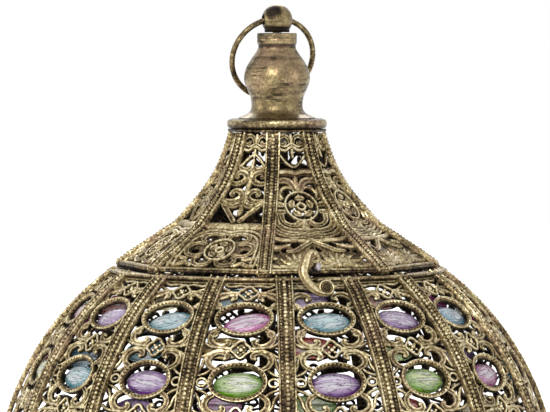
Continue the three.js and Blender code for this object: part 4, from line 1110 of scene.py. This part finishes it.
def palmette(work, base, reach, first, last, count, width):
    """Leaves that spread from one foot, like an open hand."""
    for k in range(count):
        a = first + (last - first) * k / (count - 1)
        length = reach * (0.86 + 0.14 * math.cos(2 * a))
        middle, tip = ((base[0] + far * math.cos(b), base[1] + far * math.sin(b))
                       for far, b in ((0.55 * length, a + 0.10), (length, a - 0.08)))
        work.strand([base, middle, tip], (width * 0.5, width * 1.1, width, width * 0.35), 0.95, "domed")
    work.boss(base, 1.5, 1.3, sides=10)


ROUNDEL_HOLES = (
    ((9.4, 19.9), (11.4, 20.9), (15.2, 21.2), (17.4, 20.2), (16.8, 18.6), (13.2, 18.7)),
    ((2.6, 20.4), (5.2, 20.9), (8.6, 20.3), (10.6, 17.6), (8.3, 15.0), (5.4, 17.0)),
    ((9.4, 12.6), (11.3, 15.6), (14.9, 16.3), (15.3, 13.2), (12.4, 12.6)),
    ((0.4, 17.3), (1.6, 16.6), (3.2, 14.6), (2.2, 13.2), (0.4, 14.2)),
    ((16.0, 13.9), (18.4, 14.4), (19.6, 12.4), (17.6, 11.9)),
    ((19.4, 8.3), (21.4, 8.9), (22.0, 6.8), (20.2, 6.6)),
    ((17.6, 2.9), (20.6, 3.4), (21.4, 1.9), (18.2, 1.7)),
    ((0.5, 8.6), (1.7, 9.4), (2.4, 6.8), (1.3, 5.2), (0.5, 5.8)))


def roundel_pattern():
    work = Relief(swell=1.15)
    work.add(*lid_ground(mirrored(ROUNDEL_HOLES), 22.4))
    lid_border(work)
    lid_top(work)
    # Hanging V and the moulded bar below it
    work.both([(0.2, 60.9), (2.7, 62.7), (4.8, 65.4), (7.2, 68.6)], (1.5, 1.2), 0.9)
    work.bow([(0, 57.7), (3.0, 58.5), (lid_side(58.0), 58.3)], 3.0, 1.7, "moulded")
    # Broad arches and a stem over the roundel
    work.stem((48.2, 52.0, 56.6), (3.0, 2.0, 2.6), 1.2, "domed")
    work.both([(1.2, 48.9), (1.9, 51.9), (3.4, 53.9), (5.8, 54.6), (9.6, 54.0)], (2.2, 3.0, 3.0, 2.4), 1.25,
              "channel")
    work.both([(2.2, 50.4), (4.4, 51.6), (6.8, 50.9), (7.9, 48.4)], (0.9, 1.6, 1.8, 1.0), 0.8, "domed")
    work.both([(9.8, 52.6), (8.9, 49.6), (8.0, 46.6)], (2.2, 1.8, 1.4), 0.9, "domed")
    rosette(work, 41.1, 7.2, 7.6, 5, 0.3)
    # Leaves from the ribs to the roundel
    for v0, v1 in ((46.6, 45.0), (42.4, 41.9), (38.0, 38.6)):
        side = lid_side(v0)
        work.both([(side, v0 + 1.0), ((side + 8.0) / 2 + 0.4, v0 + 0.2), (7.6, v1)], (1.8, 3.0, 1.9), 1.0,
                  "channel")
    # Lobed frame under the roundel: a broad band and a thin one, with a leaf scroll each side inside
    work.bow([(0, 26.4), (3.2, 27.5), (6.6, 27.4), (10.6, 29.2), (12.8, 32.6), (12.9, 37.4)], 3.0, 1.3,
             "channel")
    work.bow([(0, 23.0), (3.2, 24.3), (7.2, 24.0), (12.0, 25.7), (15.0, 29.2), (15.9, 34.4)], 2.6, 0.95,
             "channel")
    work.bow([(0, 21.0), (6.0, 21.6), (13.4, 22.2), (19.4, 25.4)], 2.2, 0.85, "domed")
    work.both([(17.6, 31.8), (17.2, 28.4), (15.2, 24.6)], (2.4, 2.6, 1.6), 0.8, "domed")
    work.both([(2.0, 33.2), (4.4, 31.2), (7.4, 31.4), (9.6, 33.6), (9.9, 37.0)], (2.6, 2.4, 1.8, 2.4), 1.1,
              "channel")
    work.stem((34.4, 31.0, 26.6), (3.0, 4.2, 3.4), 1.05, "domed")
    # The pointed arch, and a palmette that spreads below each of its legs
    work.both([(0.0, 20.4), (4.4, 17.3), (9.2, 13.9), (13.4, 13.3)], (2.0, 2.3, 1.6), 1.1, "channel")
    work.both([(lid_side(23.0), 22.6), (19.4, 19.0), (17.4, 16.6), (13.6, 17.4), (10.4, 18.2)],
              (1.8, 2.4, 2.0, 1.2), 0.9, "domed")
    for side in (-1, 1):
        palmette(work, (side * 8.2, 4.2), 10.4, deg(-4), deg(184), 9, 2.3)
    work.stem((13.4, 8.0, 2.6), (1.2, 2.0, 1.6), 0.9, "domed")
    work.both([(lid_side(4.0), 4.6), (21.4, 4.4), (17.0, 3.0)], (1.6, 2.2, 1.4), 0.85, "domed")
    work.both([(lid_side(10.0), 11.4), (21.0, 10.6), (18.6, 8.6)], (1.6, 2.2, 1.4), 0.85, "domed")
    return work


OVAL_HOLES = (
    ((3.2, 21.4), (5.8, 23.9), (9.2, 23.7), (8.4, 21.4), (5.6, 20.4)),
    ((9.9, 18.4), (12.0, 19.9), (13.4, 18.7), (11.0, 17.2)),
    ((9.7, 13.0), (11.0, 14.9), (13.6, 14.4), (13.2, 12.4), (11.0, 11.9)),
    ((15.8, 6.1), (18.0, 8.1), (20.6, 8.3), (19.0, 6.4)),
    ((16.2, 14.6), (16.4, 18.6), (17.6, 18.2), (17.8, 14.4)),
    ((3.6, 6.4), (5.0, 7.6), (7.2, 7.0), (6.4, 5.4), (4.4, 5.0)),
    ((20.4, 12.2), (21.6, 13.2), (22.4, 11.0), (21.2, 10.6)))


def oval_pattern():
    work = Relief(swell=1.15)
    holes = mirrored(OVAL_HOLES)
    holes += [oval_hole(side * u, 2.3, 1.1, 0.55) for side in (-1, 1) for u in (3.3, 9.0, 14.5, 20.0)]
    holes += [oval_hole(4.3 * math.cos(a), 13.8 + 4.3 * math.sin(a), 1.3, 0.6, a)
              for a in (deg(47), deg(119), deg(191), deg(263), deg(335))]
    work.add(*lid_ground(holes, 29.6))
    lid_border(work)
    lid_top(work)
    # Peaked lines over a pair of leaves
    work.both([(0.2, 67.0), (2.7, 65.0), (5.4, 62.0), (8.6, 59.4)], (1.4, 1.3), 0.95)
    work.stem((60.4, 63.0, 65.0), (1.4, 1.8, 0.9), 1.0)
    work.both([(0.4, 60.9), (2.4, 59.6), (4.7, 60.1), (6.6, 61.9)], (1.8, 2.6, 1.6), 1.1, "channel")
    # Two tiers of paired scrolls on a stem
    for v in (55.6, 46.5):
        work.both([(lid_side(v) + 0.4, v - 2.4), (6.2, v - 2.9), (3.2, v - 2.1), (1.6, v), (2.8, v + 2.3),
                   (5.4, v + 2.7), (6.8, v + 1.0), (5.2, v + 0.1)], (2.0, 2.5, 2.7, 2.6, 2.1, 1.7), 1.25,
                  "channel")
    work.stem((42.8, 46.4, 50.9, 55.4, 59.8), (2.0, 3.4, 2.2, 3.4, 2.0), 0.95, "domed")
    # Wavy tie and the legs that meet on the bar
    work.bow([(0, 42.6), (1.8, 42.0), (4.9, 41.0), (10.8, 43.6)], 2.5, 1.3, "channel")
    work.both([(9.6, 42.6), (7.1, 39.8), (4.2, 36.4), (0.9, 32.4)], 2.3, 1.1, "channel")
    work.both([(11.6, 41.4), (13.2, 37.6), (14.2, 33.2)], 1.9, 0.8)
    work.stem((41.6, 38.6, 36.0), (2.0, 2.8, 1.2), 1.0, "domed")
    work.bow([(0, 29.9), (6.0, 30.5), (lid_side(31.0), 30.2)], 4.0, 1.4, "domed")
    # Rounded double frame round a flower
    work.bow([(0, 26.2), (4.6, 27.1), (10.9, 26.7), (17.0, 21.8), (19.8, 12.0), (20.8, 1.6)], 1.6, 1.2)
    work.bow([(0, 24.4), (4.6, 25.2), (10.4, 24.7), (15.4, 20.6), (17.6, 12.6), (18.6, 3.4)], 1.4, 1.0)
    rosette(work, 13.8, 6.7, 6.9, 5, 0.2)
    # Loops round the flower, at its sides, above and below
    work.both([(7.4, 17.2), (11.3, 18.3), (15.1, 16.6), (15.9, 13.4), (14.1, 10.4), (10.8, 9.6),
               (7.2, 10.6)], (1.6, 2.3, 2.3, 1.6), 1.05, "channel")
    work.both([(1.0, 20.4), (2.4, 23.6), (6.2, 25.0), (9.9, 23.7), (10.9, 21.0), (8.6, 18.6)],
              (1.6, 2.2, 2.3, 1.6), 1.05, "channel")
    work.both([(1.2, 7.4), (2.2, 4.6), (5.6, 3.4), (9.0, 4.6), (9.8, 7.4), (7.6, 9.2)], (1.6, 2.3, 2.3, 1.6),
              1.05, "channel")
    # Leaves between the loops and the ribs
    work.both([(lid_side(12.0), 13.0), (21.4, 9.8), (17.2, 9.0), (13.0, 7.6)], (1.6, 2.6, 2.0), 0.95, "domed")
    work.both([(20.4, 17.2), (18.6, 20.6), (15.8, 24.6)], (1.8, 2.4, 1.8), 0.9, "domed")
    work.both([(9.6, 3.4), (13.6, 5.6), (17.6, 4.0), (lid_side(4.0), 5.4)], (1.8, 2.4, 1.8), 0.95, "domed")
    work.both([(lid_side(24.0), 26.6), (18.6, 27.6), (13.4, 27.8)], (1.6, 2.0, 1.2), 0.8, "domed")
    return work


def lid_strip(index):
    work = roundel_pattern() if index % 4 < 2 else oval_pattern()
    shape = work.on(roof_surface(roof_facing(index)))
    node = f"roof_panel_{index + 1}"
    return make_piece(f"lid_strip_{index + 1}", [shape], "lid", LID_OPENWORK, [node])


def lid_frame():
    """Ribs, the eave, the crown plate, the feet that stand on the body's hoop and the lug of the latch."""
    shapes = []
    for i in range(ROOF_SIDES):
        facing = roof_facing(i + 0.5)
        shapes.append(swept_rib(roof_surface(facing, 1.0), -0.9, ROOF_LENGTH + 0.6, 56, ROOF_RIB_OUTLINE))
        # Mark 0.05 keeps the feet nearly black: painted shade in the gap between the lid and the body's hoop.
        foot = block((LID_FOOT["side"], LID_FOOT["side"], LID_FOOT["height"]), (0, 0, LID_FOOT["middle"]),
                     mark=0.05)
        spot = place(facing, EAVE["radius"] - EAVE["width"] / 2 - LID_FOOT["inset"], 0.0, 0.0)
        shapes.append(moved(foot, Matrix.Translation(Vector(spot)) @ Matrix.Rotation(facing, 4, "Z")))
    turn = math.pi / ROOF_SIDES
    outer, inner = EAVE["radius"], EAVE["radius"] - EAVE["width"]
    low, high = EAVE["bottom"], EAVE["bottom"] + EAVE["height"]
    # The eave's underside and lower outer face take marks of 0 to 0.25: painted shade along the lid's lower
    # edge.
    profile = ((inner, low, 0.0), (outer - 0.5, low, 0.0), (outer - 0.1, low + 0.3, 0.1),
               (outer, low + 0.9, 0.25), (outer - 0.35, low + 1.3, 0.15), (outer - 0.2, low + 1.6, 0.6),
               (outer - 0.6, high, 0.7), (inner + 0.3, high, 0.3), (inner, high - 0.3, 0.1))
    shapes.append(hoop(ROOF_SIDES, turn, profile))
    # The crown plate's marks stay at 0 to 0.1: painted shadow under the cap moulding.
    low, high, rim = CROWN["bottom"], CROWN["bottom"] + CROWN["height"], CROWN["radius"]
    profile = ((BORE, low, 0.0), (rim - 0.6, low, 0.0), (rim - 0.3, low + 0.3, 0.1),
               (rim - 0.3, high - 0.3, 0.1), (rim - 0.6, high, 0.1), (BORE, high, 0.1))
    shapes.append(hoop(ROOF_SIDES, turn, profile))
    lowest = (EAVE["bottom"] - LATCH["height"]) / math.cos(LATCH["lean"]) + STUD["thickness"]
    tall = STUD["up"] + STUD["above"] - lowest
    lug = block((STUD["lug"], STUD["thickness"], tall), (STUD["x"], STUD["behind"], lowest + tall / 2),
                mark=0.15)
    shapes.append(moved(lug, latch_matrix()))
    top = EAVE["bottom"] + EAVE["height"]
    front = LATCH["reach"] - STUD["behind"] - (top - LATCH["height"]) * math.tan(LATCH["lean"])
    back = EAVE["radius"] * math.cos(math.pi / ROOF_SIDES) - EAVE["width"] / 2
    middle = (LATCH["x"] + STUD["x"], -(front + back) / 2, top - STUD["thickness"] / 2)
    shapes.append(block((STUD["lug"], front - back, STUD["thickness"]), middle, mark=0.15))
    return make_piece("lid_ribs_and_eave", shapes, "lid", RIB_BRASS, ["roof_frame"], sharp=50)


def lid_rib_beads():
    centre, fine = [], []
    for i in range(ROOF_SIDES):
        surface = roof_surface(roof_facing(i + 0.5), 1.0)
        centre.append(rib_line(surface, 0.8, ROOF_LENGTH - 0.6, 0.0, 1.25, 70))
        fine.extend([rib_line(surface, 0.6, ROOF_LENGTH - 0.6, side, 1.15, 70) for side in (-1.75, 1.75)])
    bead_rows("lid_rib_beads", centre, 1.7, 0.98, "lid", LID_BEADS, 8, 5)
    bead_rows("lid_rib_pearls", fine, 1.4, 0.52, "lid", RIB_PEARLS, 6, 4)


# Finial, ring, latch, foot and lampholder


def turned_piece(name, profile, body, material, node, sides=64, mark=0.72, marks=None):
    return make_piece(name, [turned(profile, sides, mark, marks)], body, material, [node],
                      sharp=TURNED_SHARP)


def raised(height, profile):
    return [(radius, height + rise) for radius, rise in profile]


def finial():
    """Turned pieces from the cap up, each with its profile as rises above its own foot."""
    cap = [(BORE, 0), (20.8, 0), (21.3, 0.2), (21.6, 0.6), (21.75, 1.2), (21.8, 2.0), (21.75, 2.8),
           (21.55, 3.3), (21.1, 3.65), (20.4, 3.8), (19.8, 4.1), (BORE, 4.1)]
    turned_piece("cap_moulding", raised(FINIAL["cap"], cap), "lid", CAP_BRASS, "cap_plate",
                 marks=(0.1, 0.1, 0.2, 0.4, 0.6, 0.75, 0.8, 0.75, 0.6, 0.3, 0.5, 0.5))
    z = FINIAL["flare"]
    flare = smooth_path(raised(z, [(17.0, 0.05), (16.0, 0.55), (14.6, 1.1), (13.3, 1.7), (12.3, 2.5),
                                   (11.6, 3.4), (11.25, 4.6), (11.2, 6.1), (11.35, 7.6), (11.6, 8.92)]), 3)
    turned_piece("flared_skirt", [(BORE, z - 0.28), (16.6, z - 0.28), *flare.tolist(), (BORE, z + 8.92)],
                 "lid", FINIAL_BRASS, "finial_flare", mark=0.6)
    z = FINIAL["vase"]
    vase = smooth_path(raised(z, [(11.6, 0.05), (12.1, 1.4), (12.9, 3.2), (13.8, 5.4), (14.35, 7.4),
                                  (14.45, 9.0), (14.25, 10.8), (13.6, 12.8), (12.4, 15.2), (11.0, 17.3),
                                  (9.7, 19.2), (8.8, 20.6), (8.35, 21.55)]), 4)
    turned_piece("onion_vase", [(BORE, z), *vase.tolist(), (BORE, z + 21.55)], "lid", FINIAL_BRASS,
                 "finial_vase", mark=0.66)
    collar = [(BORE, 0), (8.35, 0), (8.15, 0.6), (8.15, 1.3), (8.45, 2.0), (8.7, 2.4), (8.7, 4.3),
              (8.62, 4.5), (8.7, 4.7), (8.7, 6.2), (8.5, 6.65), (8.1, 6.8), (BORE, 6.8)]
    turned_piece("finial_collar_moulding", raised(FINIAL["collar"], collar), "lid", FINIAL_BRASS,
                 "finial_collar",
                 marks=(0.4, 0.5, 0.3, 0.25, 0.4, 0.7, 0.65, 0.3, 0.65, 0.7, 0.6, 0.4, 0.3))
    ball_knob()


def ball_knob():
    """The knob: a ball on a short neck, drilled through from side to side for the ring."""
    radius, middle, neck, steps = BALL["radius"], BALL["centre"], BALL["neck"], 24
    start = math.asin(neck / radius)
    angles = [start + i / steps * (math.pi - start) for i in range(steps)]
    arc = [(radius * math.sin(angle), middle - radius * math.cos(angle)) for angle in angles]
    arc.append((0, middle - radius * math.cos(math.pi)))
    low = FINIAL["ball"]
    socket = low + BALL["neck_height"] + 0.3
    profile = [(0, socket), (BORE, socket), (BORE, low), (neck - 0.2, low), (neck, low + 0.3), *arc]
    # The first seven marks, 0.1, darken the neck and the foot of the ball: painted shade in the seam between
    # the ball and the collar.
    points, marks, faces = turned(profile, 64, marks=(0.1,) * 7 + (0.4, 0.6) + (0.66,) * (len(profile) - 9))
    # A painted dark reflection: the marks are lowered round a spot on the upper left front of the polished
    # ball.
    dark_reflection_spot = np.array(BALL["dark_patch"]) * radius + [0, 0, middle]
    near = np.clip(1.5 - np.linalg.norm(points - dark_reflection_spot, axis=1) / BALL["patch_reach"], 0, 1)
    knob = make_piece("ball_knob", [(points, marks - BALL["patch_dark"] * near, faces)], "lid", FINIAL_BRASS,
                      ["finial_ball"], sharp=TURNED_SHARP)
    drilled(knob, BALL["hole"], 2.4 * radius, (0, 0, middle), "Y", 28)


def drilled(piece, radius, length, centre, axis, segments):
    """Cut a round hole through a piece; its line is +Z after a quarter turn about the named axis."""
    mesh = bpy.data.meshes.new("drill")
    work = bmesh.new()
    stand = Matrix.Translation([c * MM for c in centre]) @ Matrix.Rotation(math.pi / 2, 4, axis)
    bmesh.ops.create_cone(work, cap_ends=True, segments=segments, radius1=radius * MM, radius2=radius * MM,
                          depth=length * MM, matrix=stand)
    work.to_mesh(mesh)
    work.free()
    drill = linked("drill", mesh)
    modifier = piece.modifiers.new("cut", "BOOLEAN")
    modifier.object = drill
    modifier.solver = "EXACT"
    cut = evaluated_mesh(piece)
    piece.modifiers.clear()
    piece.data = cut
    bpy.data.objects.remove(drill)
    soften(cut, TURNED_SHARP)


def torus(radius, wire, matrix, steps=96, sides=16, mark=0.6):
    a = np.arange(steps) * 2 * math.pi / steps
    b = np.arange(sides) * 2 * math.pi / sides
    reach = radius + wire * np.cos(b)[None, :]
    rings = np.stack([reach * np.cos(a)[:, None], reach * np.sin(a)[:, None],
                      np.broadcast_to(wire * np.sin(b)[None, :], (steps, sides))], axis=2)
    work = Relief()
    work.tube(rings, np.full(sides, mark), closed=True)
    return moved(work.on(), matrix)


def carry_ring():
    hang = RING["radius"] - RING["play"]
    matrix = (Matrix.Translation((0, 0, BALL["centre"])) @ Matrix.Rotation(RING["lean"], 4, "X")
              @ Matrix.Translation((0, 0, -hang)) @ Matrix.Rotation(math.pi / 2, 4, "X"))
    make_piece("carry_ring_wire", [torus(RING["radius"], RING["wire"], matrix)], "ring", RING_BRASS,
               ["carry_ring"])


# Shape of the hook as it rests, as (across, up) shares of its size from the rivet
HOOK_CREST = ((-0.295, 0.64), (-0.22, 0.665), (-0.15, 0.7), (-0.13, 0.755), (-0.155, 0.81), (-0.21, 0.84),
              (-0.285, 0.85), (-0.375, 0.81), (-0.44, 0.735), (-0.49, 0.63), (-0.535, 0.53), (-0.575, 0.42),
              (-0.58, 0.31), (-0.555, 0.2), (-0.495, 0.085), (-0.41, -0.02), (-0.31, -0.11), (-0.2, -0.175),
              (-0.08, -0.2))
HOOK_THROAT = ((-0.063, 0.131), (-0.178, 0.099), (-0.274, 0.131), (-0.338, 0.208), (-0.363, 0.295),
               (-0.365, 0.375), (-0.307, 0.438), (-0.235, 0.481))
HOOK_TOOTH = ((-0.22, 0.558), (-0.245, 0.58), (-0.303, 0.569))


def hook_outline():
    """Crest, round eye, throat and tooth, anticlockwise."""
    crest, throat, tooth = ([(x * HOOK["size"], z * HOOK["size"]) for x, z in shares]
                            for shares in (HOOK_CREST, HOOK_THROAT, HOOK_TOOTH))
    turns = [deg(angle) for angle in range(-80, 81, 16)]
    eye = [(HOOK["eye"] * math.cos(a), HOOK["eye"] * math.sin(a)) for a in turns]
    return crest + eye + throat + tooth


def on_hook_face(uvd):
    """From (across, up, out of the hook's face) in the latch's own plane to a place on the lantern."""
    u, v, d = np.asarray(uvd, float).T
    flat = np.stack([u, -HOOK["thickness"] - d, v], axis=1)
    lie = latch_matrix()
    return flat @ np.array(lie.to_3x3()).T + np.array(lie.translation)


def latch_hook():
    """A crescent with a domed back, a round eye with a raised rim and a curled head."""
    hole = oval_hole(0, 0, HOOK["bore"], HOOK["bore"], count=24)
    work = filled_plate([smooth_path(hook_outline(), 3, True), hole], HOOK["thickness"], HOOK["bevel"])
    face, faces = taken_out(work)
    plate = on_hook_face(face - [0, 0, HOOK["thickness"] / 2])
    marks = np.where(face[:, 2] > 0, 0.55, 0.15)
    dome = Relief()
    dome.strand([(-4.6, 15.7), (-5.9, 14.9), (-7.1, 13.0), (-8.0, 10.6), (-8.8, 8.4), (-9.0, 6.4),
                 (-8.4, 4.4), (-7.2, 2.2), (-5.6, 0.2), (-3.8, -1.5), (-1.6, -2.6), (0.8, -2.8)],
                (1.6, 3.4, 3.6, 3.3, 2.8, 1.8, 0.8), 0.62, "domed", -0.3)
    dome.oval((0, 0), 3.0, 3.0, 0.9, 0.42, "domed", -0.3, count=28)
    dome.strand([(-7.0, 14.0), (-5.6, 15.6), (-4.0, 15.7), (-3.4, 14.8), (-4.0, 14.0)], (2.0, 1.9, 1.5, 1.0),
                0.6, "domed", -0.3)
    make_piece("hook_plate", [(plate, marks, faces), dome.on(on_hook_face)], "hook", HOOK_BRASS,
               ["latch_hook"], sharp=50)


def on_latch(shape, x=0, up=0):
    """A turned shape stood out from the latch's plane."""
    lie = latch_matrix() @ Matrix.Translation((x, 0, up))
    return moved(shape, lie @ Matrix.Rotation(math.pi / 2, 4, "X"))


def latch_fasteners():
    rivet = [(0, -0.3), (1.2, -0.3), (1.2, 1.55), (2.15, 1.55), (2.3, 1.7), (2.2, 1.95), (1.9, 2.0),
             (1.6, 1.8), (0.9, 1.68), (0, 1.66)]
    marks = (0.1, 0.1, 0.1, 0.2, 0.45, 0.5, 0.3, 0.1, 0.2, 0.25)
    make_piece("latch_rivet_head", [on_latch(turned(rivet, 32, marks=marks))], "body", HOOK_BRASS,
               ["latch_rivet"], sharp=40)
    stem = [(0, -0.8), (0.8, -0.8), (0.8, 1.7), (0, 1.7)]
    head = [(0, 1.6), (1.5, 1.6), (1.85, 1.85), (1.85, 2.4), (1.5, 2.9), (0.9, 3.15), (0, 3.2)]
    points, marks, faces = turned(head, 32, 0.75)
    oval = (points * [0.6, 1.0, 1.0] + [0, -0.3, 0], marks, faces)
    shapes = [on_latch(shape, STUD["x"], STUD["up"]) for shape in (turned(stem, 32, 0.75), oval)]
    make_piece("latch_stud_head", shapes, "lid", STUD_GREY, ["latch_stud"], sharp=40)


def foot_and_bush():
    rim = FOOT_RADIUS
    foot = [(88.3, 2.3), (rim - 0.6, 2.3), (rim, 2.8), (rim, 4.0), (rim - 0.4, 4.6), (91.8, 5.3),
            (91.0, 6.0), (90.9, 14.6), (91.3, 15.5), (92.3, 16.3), (92.6, 17.0), (92.5, 17.9), (92.1, 18.3),
            (87.6, 18.3), (87.6, 16.7), (89.4, 16.7), (89.4, 3.9), (88.3, 3.9)]
    marks = (0.4, 0.6, 0.85, 0.8, 0.5, 0.3, 0.55, 0.55, 0.3, 0.7, 0.85, 0.85, 0.6, 0.2, 0.2, 0.2, 0.2, 0.3)
    ring = turned_piece("foot_ring", foot, "body", FOOT_BRASS, "foot", sides=96, marks=marks)
    drilled(ring, BUSH["hole"], BUSH["length"], (0, BUSH["back"], BUSH["height"]), "X", 32)
    bush = [(3.3, 87.3), (4.1, 87.3), (4.1, 91.25), (4.7, 91.25), (4.8, 91.4), (4.75, 92.1), (4.4, 92.4),
            (3.5, 92.4), (3.3, 92.2)]
    stand = Matrix.Translation((0, 0, BUSH["height"])) @ Matrix.Rotation(-math.pi / 2, 4, "X")
    make_piece("cord_bush_ring", [moved(turned(bush, 36, 0.5), stand)], "body", BUSH_BLACK, ["cord_bush"])


def lampholder():
    holder = [(5.2, 0), (13.0, 0), (13.5, 0.6), (13.5, 9), (13.2, 9.3), (13.2, 9.9), (13.5, 10.2),
              (13.5, 33.2), (13.1, 34), (7.9, 34), (7.3, 33.5), (7.3, 8), (5.2, 8)]
    turned_piece("holder_sleeve", raised(BOTTOM_HOOP["bottom"], holder), "body", HOLDER_WHITE,
                 "lampholder_body")
    collar = [(13.8, 44.1), (17.1, 44.1), (17.5, 44.5), (17.5, 49.7), (17.1, 50.1), (13.8, 50.1)]
    turned_piece("holder_shade_collar", collar, "body", HOLDER_WHITE, "lampholder_collar")
    screw = [(0, 30.9), (3.5, 30.9), (5.6, 32.3), (6.3, 34.2)]
    for i in range(BULB["turns"]):
        low = BULB["screw"] + i * BULB["pitch"]
        screw.extend([(6.5, low), (6.95, low + 0.6), (6.95, low + 1.1), (6.5, low + 1.7)])
    screw.extend([(6.9, 55.2), (6.6, 55.9), (0, 55.9)])
    turned_piece("bulb_screw_cap", screw, "body", STEEL, "bulb_cap", sides=36)
    centre, radius, wall = BULB["centre"], BULB["radius"], BULB["wall"]
    outer = [(radius * math.sin(a), centre + radius * math.cos(a))
             for a in np.linspace(0.001, math.pi - 0.42, 26)]
    neck = [(8.2, 62.6), (7.2, 59.6), (7.0, 56.2)]
    inner = [(r - wall if r > 1.2 else r * 0.1, z - (wall if z > centre + 15 else 0))
             for r, z in reversed(outer + neck)]
    inner[0] = (6.0, 56.2)
    profile = [(0, centre + radius), *outer[1:], *neck, *inner[:-1], (0, centre + radius - wall)]
    turned_piece("bulb_globe", profile, "body", BULB_GLASS, "bulb_glass", sides=48)


def dress_cad_nodes():
    """Finishes for the solids that show as they are."""
    leaves = ("hinge_leaf_body", "hinge_leaf_lid")
    steel = ("lampholder_nipple", "nipple_nut", "hinge_pin", "finial_stud", "stud_washer", "stud_nut")
    pads = [f"foot_pad_{k}" for k in (1, 2, 3)]
    for material, nodes in ((PLATE_BRASS, ("base_plate",)), (HINGE_BRASS, leaves), (STEEL, steel),
                            (BLACK_RUBBER, pads)):
        for node in nodes:
            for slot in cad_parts[node].material_slots:
                slot.material = material


# Studio


def aim(item, way):
    item.rotation_mode = "QUATERNION"
    item.rotation_quaternion = way.to_track_quat("-Z", "Y")


def soft_light(name, location, target, size, power, colour):
    data = bpy.data.lights.new(name, "AREA")
    data.shape = "RECTANGLE"
    data.size, data.size_y = size
    data.energy = power
    data.color = colour
    lamp = linked(name, data)
    lamp.location = location
    aim(lamp, Vector(target) - Vector(location))


def seen_directly(tree):
    """1 where the camera, a reflection or a view through glass looks at it, otherwise 0."""
    path = tree.nodes.new("ShaderNodeLightPath")
    total = maths(tree, "ADD", path.outputs["Is Camera Ray"], path.outputs["Is Glossy Ray"])
    return maths(tree, "ADD", total, path.outputs["Is Transmission Ray"], clamp=True)


def studio():
    world = bpy.data.worlds.new("soft_studio")
    bpy.context.scene.world = world
    world.use_nodes = True
    tree = world.node_tree
    colour = blended(tree, seen_directly(tree), (0.50, 0.51, 0.53, 1), (1, 1, 1, 1))
    fill(tree, tree.nodes["Background"], {"Color": colour, "Strength": 1.0})
    bpy.ops.mesh.primitive_plane_add(size=8, location=(0, 0, -0.0005))
    floor = bpy.context.object
    floor.name = "studio_floor"
    material, tree, shader = new_material("pale_floor")
    glow = maths(tree, "MULTIPLY", seen_directly(tree), 0.78)
    fill(tree, shader, {"Base Color": (0.8, 0.8, 0.8, 1), "Roughness": 0.9, "Specular IOR Level": 0.0,
                        "Emission Color": (1, 1, 1, 1), "Emission Strength": glow})
    floor.data.materials.append(material)
    for name, settings in LIGHTS.items():
        soft_light(name, *settings)


def camera():
    data = bpy.data.cameras.new("photo_camera")
    cam = linked("photo_camera", data)
    azimuth, elevation = CAMERA["azimuth"], CAMERA["elevation"]
    back = Vector((math.sin(azimuth) * math.cos(elevation), -math.cos(azimuth) * math.cos(elevation),
                   math.sin(elevation)))
    cam.location = Vector((0, 0, CAMERA["target"])) + back * CAMERA["distance"]
    data.lens = CAMERA["lens"]
    data.sensor_width = SENSOR_WIDTH
    focal = CAMERA["lens"] / SENSOR_WIDTH * FRAME_SIZE[0]
    tilt = elevation - math.atan((TARGET_PIXEL[1] - FRAME_SIZE[1] / 2) / focal)
    yaw = azimuth + math.atan((TARGET_PIXEL[0] - FRAME_SIZE[0] / 2) / focal)
    aim(cam, Vector((-math.sin(yaw) * math.cos(tilt), math.cos(yaw) * math.cos(tilt), -math.sin(tilt))))
    data.clip_start, data.clip_end = 0.05, 30
    bpy.context.scene.camera = cam
    bpy.context.scene.view_settings.view_transform = "Standard"


camera()
studio()
for strip_index in range(BODY_SIDES):
    body_strip(strip_index)
body_frame()
body_rib_beads()
setting_beads()
for string_index in range(ROW_COUNT):
    gem_row(string_index)
for strip_index in range(ROOF_SIDES):
    lid_strip(strip_index)
lid_frame()
lid_rib_beads()
finial()
carry_ring()
latch_hook()
latch_fasteners()
foot_and_bush()
lampholder()
dress_cad_nodes()
